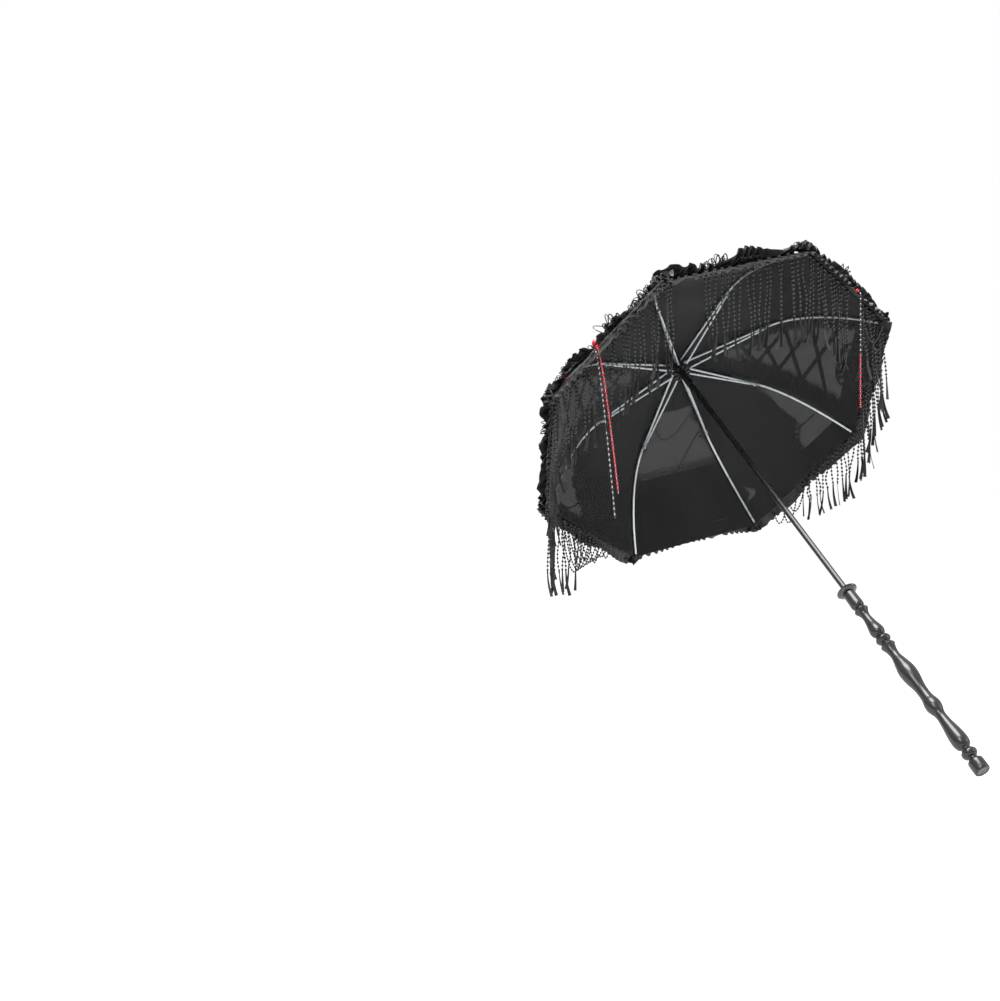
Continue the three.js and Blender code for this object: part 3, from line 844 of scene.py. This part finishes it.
def band_folds(rib, s, across):
    """The height of a band's knife pleats, and of the ripple along its edges."""
    fold = (s / 0.0145 + 0.25 * np.sin(3 * across + 2 * wave(s * 8, rib)) + 0.3 * wave(s * 9, 5 + rib)) % 1.0
    pleat = np.where(fold < 0.82, fold / 0.82, (1 - fold) / 0.18)
    ripple = 0.0016 * np.sin(2 * math.pi * s / 0.0075 + 2 * across) * np.abs(2 * across - 1) ** 2
    return 0.0030 * pleat + ripple


def lacing_edges(gore, s):
    """Where the edges of the two bands beside a laced gore lie across it, a little under the bands."""
    first, second = BANDS[gore][1], -BANDS[next_rib(gore)][0]
    return first * band_scale(s) - half_width(s) - 0.002, half_width(s) - second * band_scale(s) + 0.002


def lace_crosses(shapes, gore, t):
    for low, high in zip(LACE_STOPS, LACE_STOPS[1:]):
        for begin, end, lift in ((low, high, 0.0022), (high, low, 0.0034)):
            s = begin + (end - begin) * t
            x = lacing_edges(gore, begin)[0] * (1 - t) + lacing_edges(gore, end)[1] * t
            lay(shapes, gore, x, s, lift, wide=0.0080, twist=0.5)


def make_lacing():
    """Satin ribbons crossed over the two laced gores, and loose loops of ribbon at their rims."""
    shapes = {rib: Shape() for rib in RIBS}
    t = np.linspace(0, 1, 17)
    turn = 2 * math.pi * t
    for gore in (3, 7):
        lace_crosses(shapes, gore, t)
        middle, knot = np.mean(lacing_edges(gore, LACE_STOPS[-1])), 0.85 * HEM
        for way in (-1, 1):
            for reach, wide in ((0.024, 0.009), (0.017, 0.006)):
                x = middle + way * reach * (1 - np.cos(turn))
                s = knot + wide * np.sin(turn) + way * 0.2 * (x - middle)
                lay(shapes, gore, x, s, 0.0055, wide=0.006)
            lay(shapes, gore, middle + way * 0.016 * t, knot + 0.05 * t, 0.006, wide=0.006)
    for rib in BANDS:
        sewn(shapes[rib], "lacing", rib, [RIBBON])


# ---- Rows of trim on the two plain gores ----
def pleated_row(shape, rib, share, low, high, pleats, height, lift, seed, kind):
    """A gathered strip across a sector between two distances down it."""
    turn = rib + share / 2
    phase = 2 * math.pi * pleats * turn + 1.8 * wave(turn, seed, 6, 7)
    grid = []
    for v in np.linspace(0, 1, 9):
        swell = height * (0.35 + 0.65 * v) * (0.8 + 0.4 * wave(turn, seed + 1))
        fold = np.sin(phase + 0.5 * math.sin(5 * v)) + 0.35 * np.sin(2 * phase + 1)
        edge = 0.0015 * wave(turn, seed + 2, 6, 15) * v
        grid.append(sector_points(rib, share, low + (high - low) * v + edge, lift + swell * fold))
    return skin(shape, np.array(grid), TRIM_THICKNESS, kind)


def make_plain_trim(rib, shares):
    """Satin pleats, lace pleats and two rows of looped cord and beads, from the rim up."""
    shape = Shape()
    share = np.linspace(*shares, 240)
    area = pleated_row(shape, rib, share, 0.74 * HEM, 0.93 * HEM, 15, 0.0028, 0.0045, 51, 0)
    area += pleated_row(shape, rib, share, 0.63 * HEM, 0.80 * HEM, 21, 0.0022, 0.0085, 61, 0)
    for at, seed in ((0.615, 90), (0.65, 93), (0.70, 96)):
        start, out, up = sector_lines(rib, share, at * HEM)
        start = start + up * 0.0075
        loops_along(shape, start, -out, up, 0.007, 0.009, 0.0008, 1, seed + rib, 0.2)
        loops_along(shape, start, out, up, 0.006, 0.009, 0.0008, 1, seed + 9 + rib, 0.5)
        bead_chain(shape, start + up * 0.002, up, 0.0013, [(2, 1.0)])
    sewn(shape, "plain_trim", rib, [PLEAT, CORD, JET])


# ---- Crown dressing, rim facing and corner puffs ----
def make_crown_ruffles(rib):
    """Gathered satin round the crown: a wide soft ring and a narrow standing one."""
    shape = Shape()
    share = np.linspace(-1, 1, 81)
    turn = rib + share / 2
    reach = (0.27 + 0.09 * (mound(turn, 1.5, 0.5) + mound(turn, 9.5, 0.5))) * HEM
    area = 0.0
    wide, narrow = (0.018, reach, 5, 0.0036, 0.6, 70), (0.014, 0.040, 8, 0.0075, 0.0, 71)
    for inner, outer, waves, lift, fading, seed in (wide, narrow):
        phase = 2 * math.pi * waves * turn + 3.2 * wave(turn, seed, 6, 5)
        grid = []
        for v in np.linspace(0, 1, 11):
            s = inner + (outer - inner) * v
            fold = np.sin(phase + 2 * math.sin(4 * v)) * (1 - fading * v) * min(1.0, 0.3 + 3 * v)
            grid.append(sector_points(rib, share, s, lift + 0.003 * (fold + math.sin(math.pi * v))))
        area += skin(shape, np.array(grid), TRIM_THICKNESS)
    sewn(shape, "crown_ruffle", rib, [PLEAT])


def make_facing(rib):
    """The satin facing that the frills are sewn to."""
    share = np.linspace(-1, 1, 33)[None]
    inner = 0.885 + 0.075 * mound(rib + share / 2, 6.8, 0.32)
    s = (inner + (1 - inner) * np.linspace(0, 1, 6)[:, None]) * HEM
    strip_piece("facing", rib, sector_points(rib, share, s, 0.0013), PLEAT)


def make_puff(rib):
    """A crumpled satin knot over the rib's tip."""
    shape = Shape()
    centre, normal = sector_points(rib, 0.0, HEM - 0.008, 0.006), sector_normals(rib, 0.0, HEM)
    side = tangent_of(rib)
    out = unit(np.cross(side, normal))
    angle = np.linspace(0, 2 * math.pi, 49)
    area = 0.0
    for ring, (radius, tall) in enumerate(((0.020, 0.004), (0.013, 0.010))):
        grid = []
        for v in np.linspace(0.15, 1, 5):
            r = radius * v * (1 + 0.16 * np.sin(5 * angle + ring + rib))
            lift = tall * math.sin(math.pi * v * 0.75) + 0.005 * v * np.sin(8 * angle + 2 * ring + rib)
            flat = np.outer(r * np.cos(angle), side) + np.outer(r * np.sin(angle), out)
            grid.append(centre + flat + np.outer(lift, normal))
        area += skin(shape, np.array(grid), TRIM_THICKNESS)
    sewn(shape, "tip_puff", rib, [FRILL])


# ---- Bead chains: they hang over the cloth along the slope that gravity gives in this pose ----
# Each has two ends and a sag in mm. An end is its distance from the shaft in mm, and the degrees clockwise
# from the middle of gore 5, seen from above.
RED_SWAGS = [
    ((317, -78), (146, -49.5), 98), ((146, -49.5), (144, 48.8), 165), ((144, 48.8), (316, 76.7), 98),
    ((330, -118), (171, -144), 60), ((171, -144), (162, 165.5), 120), ((144, 159.7), (168, 140.5), 12),
    ((168, 140.5), (336, 118.7), 64), ((318, -40.8), (249, -44.5), 6), ((312, 48.6), (229, 44.1), 6),
]
DARK_SWAGS = [
    ((318, -42.0), (249, -46.0), 14), ((312, 49.8), (229, 45.6), 14), ((249, -44.5), (229, 44.1), 110),
    ((126, -18), (125, 16.2), 45), ((160, -168.7), (162, 165), 22), ((245, -143), (305, -146.7), 10),
    ((245, -143), (283, -160.5), 16), ((250, 141.8), (298, 158), 14), ((250, 141.8), (335, 142.1), 14),
]
GORE_FIVE = FIRST_AZIMUTH + 4.5 * PITCH


def plan_point(distance, clockwise):
    azimuth = GORE_FIVE - math.radians(clockwise)
    return distance / 1000 * np.array([math.cos(azimuth), math.sin(azimuth)])


def on_canopy(point, lift):
    """(place, normal, rib) over a point given in plan, seen along the shaft."""
    azimuth = math.atan2(point[1], point[0])
    gore = int((azimuth - FIRST_AZIMUTH) // PITCH) % 8 + 1
    turn = (azimuth - azimuth_of(gore) - PITCH / 2 + math.pi) % (2 * math.pi) - math.pi
    distance = float(np.hypot(*point))
    s = np.interp(distance * math.cos(turn) / COS_HALF, RADIUS, LENGTH)
    x = distance * math.sin(turn)
    return gore_points(gore, x, s, lift), gore_normals(gore, s), next_rib(gore) if x > 0 else gore


def chain_over(shapes, plan, radius, pattern, lift=0.0055):
    """A chain along a line in plan, cut where it passes from one rib's cloth to the next."""
    run, last = [], None
    for point in plan:
        place, normal, rib = on_canopy(point, lift)
        if run and rib != last:
            run.append((place, normal))
            add_run(shapes[last], run, radius, pattern)
            run = []
        run.append((place, normal))
        last = rib
    add_run(shapes[last], run, radius, pattern)


def add_run(shape, run, radius, pattern):
    if len(run) > 2:
        points, normals = np.array([r[0] for r in run]), np.array([r[1] for r in run])
        bead_chain(shape, points, normals, radius, pattern)


def swag_plan(start, end, sag):
    a, b = plan_point(*start), plan_point(*end)
    t = np.linspace(0, 1, 61)[:, None]
    return a + (b - a) * t + PLAN_DOWN * (sag / 1000) * 4 * t * (1 - t)


RED_PATTERN = [(0, 1.0)] * 4 + [(1, 0.75)]
DARK_PATTERN = [(2, 1.0), (2, 1.0), (1, 0.7)]


def make_chains():
    shapes = {rib: Shape() for rib in RIBS}
    for start, end, sag in RED_SWAGS:
        chain_over(shapes, swag_plan(start, end, sag), 0.0023, RED_PATTERN, 0.0075)
    for start, end, sag in DARK_SWAGS:
        chain_over(shapes, swag_plan(start, end, sag), 0.0017, DARK_PATTERN)
    for rib in RIBS:
        if shapes[rib].count:
            sewn(shapes[rib], "bead_chains", rib, [RED, SILVER, JET], "bead_fringe")


# ---- Fringe ----
STRINGS = 24  # round half a gore on each side of a rib
STRING_LENGTH = 0.107  # of the longest
# Their lengths round the rim, as shares of the longest, at places counted in ribs. None hang by rib 1, nor
# between 4.54 and 6.68.
STRING_LENGTHS = (
    [0.5, 1.06, 1.08, 1.26, 1.28, 3.6, 4, 4.3, 4.52, 4.54, 6.68, 6.7, 6.9, 8.5],
    [1, 1, 0, 0, 1, 0.95, 0.7, 0.52, 0.36, 0, 0, 0.7, 1, 1],
)
STRING_BEAD = 0.0023
STRING_PITCH = 0.0074
THREAD_RADIUS = 0.0005
# Along the line of sight of the main camera, and across it, level.
VIEW, ACROSS_VIEW = np.array([0.46, 0.887, 0.0]), np.array([0.887, -0.462, 0.0])
# The bead patterns of the drops: radius, and (material number, radius share) for each bead.
DARK_DROP, RED_DROP = (0.0022, [(0, 1.0), (3, 0.75)]), (0.0018, [(2, 1.25), (3, 0.62)])
RED_FROM = {"red": 0, "dark": 37, "tipped": 23}  # step of a drop's line, of 37, where its red beads begin
# Loose ends of the bead chains that hang inside the rim: rib, share across its sector, length, lean, kind.
DROPS = [
    (8, 0.855, 0.239, 0.14, "red"), (8, 0.815, 0.276, 0.115, "dark"), (3, -0.79, 0.200, 0.0, "tipped"),
]
# Chains looped between two places on the rim: rib, both shares across its sector, sag.
RIM_LOOPS = [
    (3, -0.76, -0.08, 0.055), (3, -0.55, 0.3, 0.04), (5, -0.95, -0.62, 0.034), (5, -0.8, -0.5, 0.045),
    (5, -0.6, -0.34, 0.03), (7, -1.28, -0.95, 0.028), (7, -1.22, -0.6, 0.042), (7, -1.14, -0.5, 0.05),
    (7, -1.05, -0.44, 0.058), (7, -0.96, -0.38, 0.066), (7, -0.88, -0.3, 0.074), (7, -0.8, -0.24, 0.082),
    (7, -0.9, -0.62, 0.05), (7, -0.72, -0.5, 0.07), (7, -1.1, -0.86, 0.045), (6, 0.66, 0.86, 0.025),
]


def hanging_line(start, way, length, random):
    """A string's line, curled a little to one side."""
    bend = random.uniform(-1, 1)
    share = np.linspace(0, 1, 14)
    side = unit(np.cross(way, [0.3, 0.9, 0.1]))
    curl = side * (0.004 * bend * np.sin(math.pi * share * random.uniform(0.8, 2.2)))[:, None]
    return start + way * (length * share)[:, None] + curl


def fringe_strings(rib, random):
    """Where the strings hang across a sector, and how long each is as a share of the longest."""
    share = np.linspace(-1, 1, STRINGS + 1)[:-1] + 1 / STRINGS
    share = np.clip(share + random.uniform(-0.4, 0.4, STRINGS) * 2 / STRINGS, -0.985, 0.985)
    turn = (rib + share / 2 - 0.5) % 8 + 0.5
    length = np.interp(turn, *STRING_LENGTHS) * random.uniform(0.93, 1.03, STRINGS)
    kept = (length > 0.2) & ((turn < 2.4) | (turn > 4) | (wave(turn, 47, 4, 13) < 0.35))
    return share[kept], length[kept]


def tassel(tails, end, way, front, random):
    """A flat ribbon end, kinked a little, knotted to the last bead of its string."""
    length = random.uniform(0.040, 0.047)
    turn = random.uniform(-1.3, 1.3)
    facing = unit(front * math.cos(turn) + np.cross(front, way) * math.sin(turn))
    kick = np.cross(front, way) * random.uniform(-0.009, 0.009) + front * random.uniform(-0.004, 0.004)
    drop = np.linspace(0, 1, 6)[:, None]
    line = end + way * length * drop + kick * drop**2
    ribbon(tails, line, facing, 0.0058, 0.0010, np.linspace(0.4, 1.1, 6))
    tube(tails, end + way * np.linspace(-0.001, 0.005, 4)[:, None], front, 0.0014, 6)


def make_fringe(rib):
    """Strings of jet beads that end in flat ribbon, hung from the rim."""
    strings, tails = Shape(), Shape()
    random = np.random.default_rng(100 + rib)
    share, lengths = fringe_strings(rib, random)
    start, out, up = sector_lines(rib, share, HEM - 0.001)
    start = start + out * 0.003 + up * 0.001
    for place, length in zip(start, lengths):
        way = unit(DOWN + np.array([0.05, -0.026, 0]) * random.uniform(-0.5, 1.5))
        front = unit(np.cross(way, ACROSS_VIEW))
        line = hanging_line(place, way, STRING_LENGTH * length, random)
        beads(strings, spaced(line, STRING_PITCH, 0.004), STRING_BEAD * random.uniform(0.92, 1.1))
        beads(strings, line[:1] + way * 0.003, STRING_BEAD * 1.25)
        tube(strings, line, front, THREAD_RADIUS, kind=1)
        tassel(tails, line[-1], way, front, random)
    for loop_rib, *loop in RIM_LOOPS:
        if loop_rib == rib:
            make_rim_loop(strings, rib, *loop)
    for drop_rib, share, length, lean, kind in DROPS:
        if drop_rib == rib:
            make_drop(strings, rib, share, length, lean, kind)
    made = strings.piece(f"bead_strings_{rib}", [JET, THREAD, RED, SILVER], f"fringe_{rib}", "bead_fringe")
    furl(made)
    if tails.count:
        ends = tails.piece(f"ribbon_ends_{rib}", [RIBBON], f"fringe_{rib}", "bead_fringe")
        furl(ends)
    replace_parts(made, f"fringe_{rib}")


def make_rim_loop(shape, rib, first, second, sag):
    ends, _, up = sector_lines(rib, np.array([first, second]), HEM + 0.010)
    t = np.linspace(0, 1, 30)[:, None]
    line = ends[0] + (ends[1] - ends[0]) * t + DOWN * sag * 4 * t * (1 - t) - up[0] * 0.004
    beads(shape, spaced(line, 0.0058, 0.002), 0.0020)
    tube(shape, line, VIEW, THREAD_RADIUS, kind=1)


def make_drop(shape, rib, share, length, lean, kind):
    """A chain that comes over the rim and hangs down, with two large beads at its top if any part is red."""
    start, out, up = sector_lines(rib, np.array([share, share + 0.01]), HEM + 0.012)
    t = np.linspace(0, 1, 30)[:, None]
    line = start[0] + up[0] * 0.006 + DOWN * length * t + ACROSS_VIEW * lean * length * t**0.8
    over = start[0] + up[0] * 0.006 + (up[0] * 0.008 - out[0] * 0.03) * np.linspace(1, 0, 8)[:-1, None]
    line = np.concatenate([over, line])
    red_from = RED_FROM[kind]
    for part, (radius, pattern) in ((line[: red_from + 1], DARK_DROP), (line[red_from:], RED_DROP)):
        if len(part) > 1:
            bead_chain(shape, part, VIEW, radius, pattern)
    if kind != "dark":
        for step, lift, radius in ((2, 0.002, 0.0055), (5, 0.001, 0.0045)):
            beads(shape, line[step] + up[0] * lift, radius, 2, FINE_BALL)


# ---- Handle and hardware ----
def lathe(name, outline, finishes, slot, node, segments=56, kinds=0):
    """A turned piece in place of a node. Its outline is (radius, z) in mm, in the parasol's own frame.
    Kinds is a material number, or one for each ring of faces and then for both end faces."""
    shape = Shape()
    outline = np.asarray(outline, float) / 1000
    turn = 2 * math.pi * np.arange(segments) / segments
    radius, z = outline[:, :1], outline[:, 1:]
    grid = np.stack([radius * np.cos(turn), radius * np.sin(turn), z + 0 * turn], -1)
    first = np.arange(segments)[None]
    last = first[:, ::-1] + (len(outline) - 1) * segments
    groups = [*walls(len(outline), segments), first, last]
    if outline[0, 1] < outline[-1, 1]:
        groups = [faces[:, ::-1] for faces in groups]
    shape.add(world(grid), groups, kinds)
    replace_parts(shape.piece(name, finishes, "shaft", slot, sharp=40), node)


def smooth(stations):
    """A soft curve through [drop below the crown, radius] stations, as (radius, z)."""
    return flowing([(radius, -drop) for drop, radius in stations])


GRIP_STATIONS = [
    (657, 6.9), (658.6, 7.1), (660, 10.4), (662, 11.5), (664.4, 10.4), (670, 7.9), (677.6, 6.9), (690, 8.4),
    (703, 11.2), (711, 11.3), (716, 8.6), (718, 6.6), (720.4, 9.4), (725.6, 12.1), (731, 9.4), (733.6, 6.7),
    (736.4, 9.8), (739.4, 11.7), (742.4, 10.6), (750, 8.4), (761, 7.6), (776, 10.8), (792, 13.7),
    (808, 12.8), (824, 9.8), (837, 8.9), (848, 9.6), (857, 11.9), (864, 12.4), (871, 11), (878, 8.6),
    (887, 8), (900, 9.4), (918, 12.2), (932, 13), (941, 10.8), (945.6, 6.8), (948.4, 8.8),
    (951.6, 11.6), (955, 12), (959, 10.4),
    (962.4, 6.8), (964.4, 6.8),
]
CUP_STATIONS = [
    (624, 9.4), (625.2, 10.1), (636, 10.4), (647, 10.7), (652, 10.2), (655, 8.6), (656.6, 6.9),
]


TIP_RING = [
    (5.4, -622), (9, -622), (12.5, -620.6), (15, -619.4), (16.6, -618), (17.3, -617.7), (17.5, -618.5),
    (16.4, -620.2), (15.2, -621.2), (12, -622.6), (9.4, -623.5), (5.4, -623.6),
]
END_CAP = [
    (6.8, -964.8), (8.2, -965.2), (10.2, -966.6), (11.5, -968.4), (11.9, -970.5), (12.1, -974),
    (12.1, -984), (11.9, -986.6), (11.4, -987.5), (10.6, -988), (9, -988), (8.7, -987.6),
    (8.6, -987.3), (8.3, -987.2), (0.4, -987.2),
]
END_CAP_KINDS = [0] * 12 + [1, 1, 0, 1]  # the last two rings of faces and the last end face are the disc
FERRULE = [
    (5.3, 9.8), (7.6, 9.8), (8, 10.4), (8, 11.4), (7, 13), (6, 15), (5, 19), (4.5, 26), (4.4, 48),
    (4.6, 51), (5.4, 52.6), (5.5, 54.2), (5, 55.4), (4, 56), (0.3, 56),
]
ORB_RADIUS, ORB_HEIGHT = 9, 65.3  # the height of its centre


def make_handle():
    angle = np.linspace(0.03, math.pi - 0.03, 25)
    orb = np.stack([ORB_RADIUS * np.sin(angle), ORB_HEIGHT - ORB_RADIUS * np.cos(angle)], -1)
    lathe("grip_wood", smooth(GRIP_STATIONS), [LACQUER], "turned_handle", "handle_grip")
    lathe("cup_wood", smooth(CUP_STATIONS), [LACQUER], "turned_handle", "handle_cup")
    lathe("tip_ring_turned", TIP_RING, [GLOSS], "turned_handle", "tip_ring")
    lathe("end_cap", END_CAP, [LACQUER, DISC], "turned_handle", "handle_end_cap", kinds=END_CAP_KINDS)
    lathe("ferrule_turned", FERRULE, [LACQUER], "turned_handle", "ferrule", 40)
    lathe("finial_orb", orb, [GLOSS], "polished_bead", "finial_ball", 40)


def finish_nodes():
    """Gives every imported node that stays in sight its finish, with its edges slightly rounded."""
    chosen = {"shaft": ENAMEL, "crown_notch": MOULDED, "crown_cap": MOULDED, "runner": MOULDED}
    for name, node in frame["nodes"].items():
        if name.startswith(("canopy", "fringe")):
            continue
        steel = name.startswith(("rib_", "stretcher", "open", "closed")) and "tip" not in name
        node.data.materials.clear()
        node.data.materials.append(chosen.get(name, STEEL if steel else MOULDED))
        edges = node.modifiers.new("soft_edges", "BEVEL")
        edges.width, edges.segments, edges.limit_method = 0.0004, 2, "ANGLE"
        edges.harden_normals = False


# ---- Stage ----
def seen_or_lit(nodes, links, lit, seen):
    """Mixes two closures: one for the light that falls on the object, one for the backdrop itself."""
    path = nodes.new("ShaderNodeLightPath")
    return mixed(nodes, links, path.outputs["Is Camera Ray"], lit, seen)


def make_sky():
    """A white backdrop, and a softer light that is stronger from above."""
    sky = bpy.data.worlds.new("studio")
    sky.use_nodes = True
    nodes, links = sky.node_tree.nodes, sky.node_tree.links
    place = nodes.new("ShaderNodeTexCoord")
    split = nodes.new("ShaderNodeSeparateXYZ")
    links.new(place.outputs["Generated"], split.inputs[0])
    soft, white = nodes["Background"], nodes.new("ShaderNodeBackground")
    links.new(mapped(nodes, links, split.outputs["Z"], SKY_LOW, SKY_HIGH, -0.3), soft.inputs["Strength"])
    for light in (soft, white):
        light.inputs["Color"].default_value = (1, 1, 1, 1)
    seen = seen_or_lit(nodes, links, soft.outputs[0], white.outputs[0])
    links.new(seen, nodes["World Output"].inputs["Surface"])
    bpy.context.scene.world = sky


def make_floor():
    size, low = 40.0, -0.165
    mesh = bpy.data.meshes.new("floor")
    corners = [(-size, -size, low), (size, -size, low), (size, size, low), (-size, size, low)]
    mesh.from_pydata(corners, [], [(0, 1, 2, 3)])
    floor = add_object("floor", mesh)
    paper = bpy.data.materials.new("paper_floor")
    paper.use_nodes = True
    nodes, links = paper.node_tree.nodes, paper.node_tree.links
    shader = nodes["Principled BSDF"]
    shader.inputs["Roughness"].default_value = 0.9
    shader.inputs["Specular IOR Level"].default_value = 0.0
    grain = texture(nodes, links, 30)
    links.new(coloured(nodes, links, grain, [0.70] * 3, [0.72] * 3, 0, 1), shader.inputs["Base Color"])
    glow, both = nodes.new("ShaderNodeEmission"), nodes.new("ShaderNodeAddShader")
    glow.inputs["Strength"].default_value = FLOOR_GLOW
    links.new(shader.outputs[0], both.inputs[0])
    links.new(glow.outputs[0], both.inputs[1])
    seen = seen_or_lit(nodes, links, shader.outputs[0], both.outputs[0])
    links.new(seen, nodes["Material Output"].inputs["Surface"])
    mesh.materials.append(paper)


def lamp(name, place, target, size, power):
    data = bpy.data.lights.new(name, "AREA")
    data.shape, data.size, data.energy = "DISK", size, power
    aimed_object(name, data, place, Vector(target) - Vector(place))


bpy.context.scene.view_settings.view_transform = "Standard"
make_camera()
make_sky()
make_floor()
lamp("key", (-1.9, -1.2, 1.9), (0, 0.4, 0.3), 1.2, 24)
lamp("top", (-0.7, 0.0, 2.5), (0, 0.5, 0.5), 1.8, 85)
lamp("fill", (1.6, -1.4, 0.9), (0, 0.2, 0.1), 1.5, 9)
finish_nodes()
make_handle()
for rib in RIBS:
    make_cloth(rib)
    make_hem(rib)
    make_picot(rib)
    make_fringe(rib)
    make_crown_ruffles(rib)
    make_facing(rib)
    make_puff(rib)
make_lace()
for rib in BANDS:
    make_band(rib)
make_lacing()
for rib, shares in ((1, (0, 1)), (2, (-1, 0)), (5, (0, 1)), (6, (-1, 0))):
    make_plain_trim(rib, shares)
make_chains()
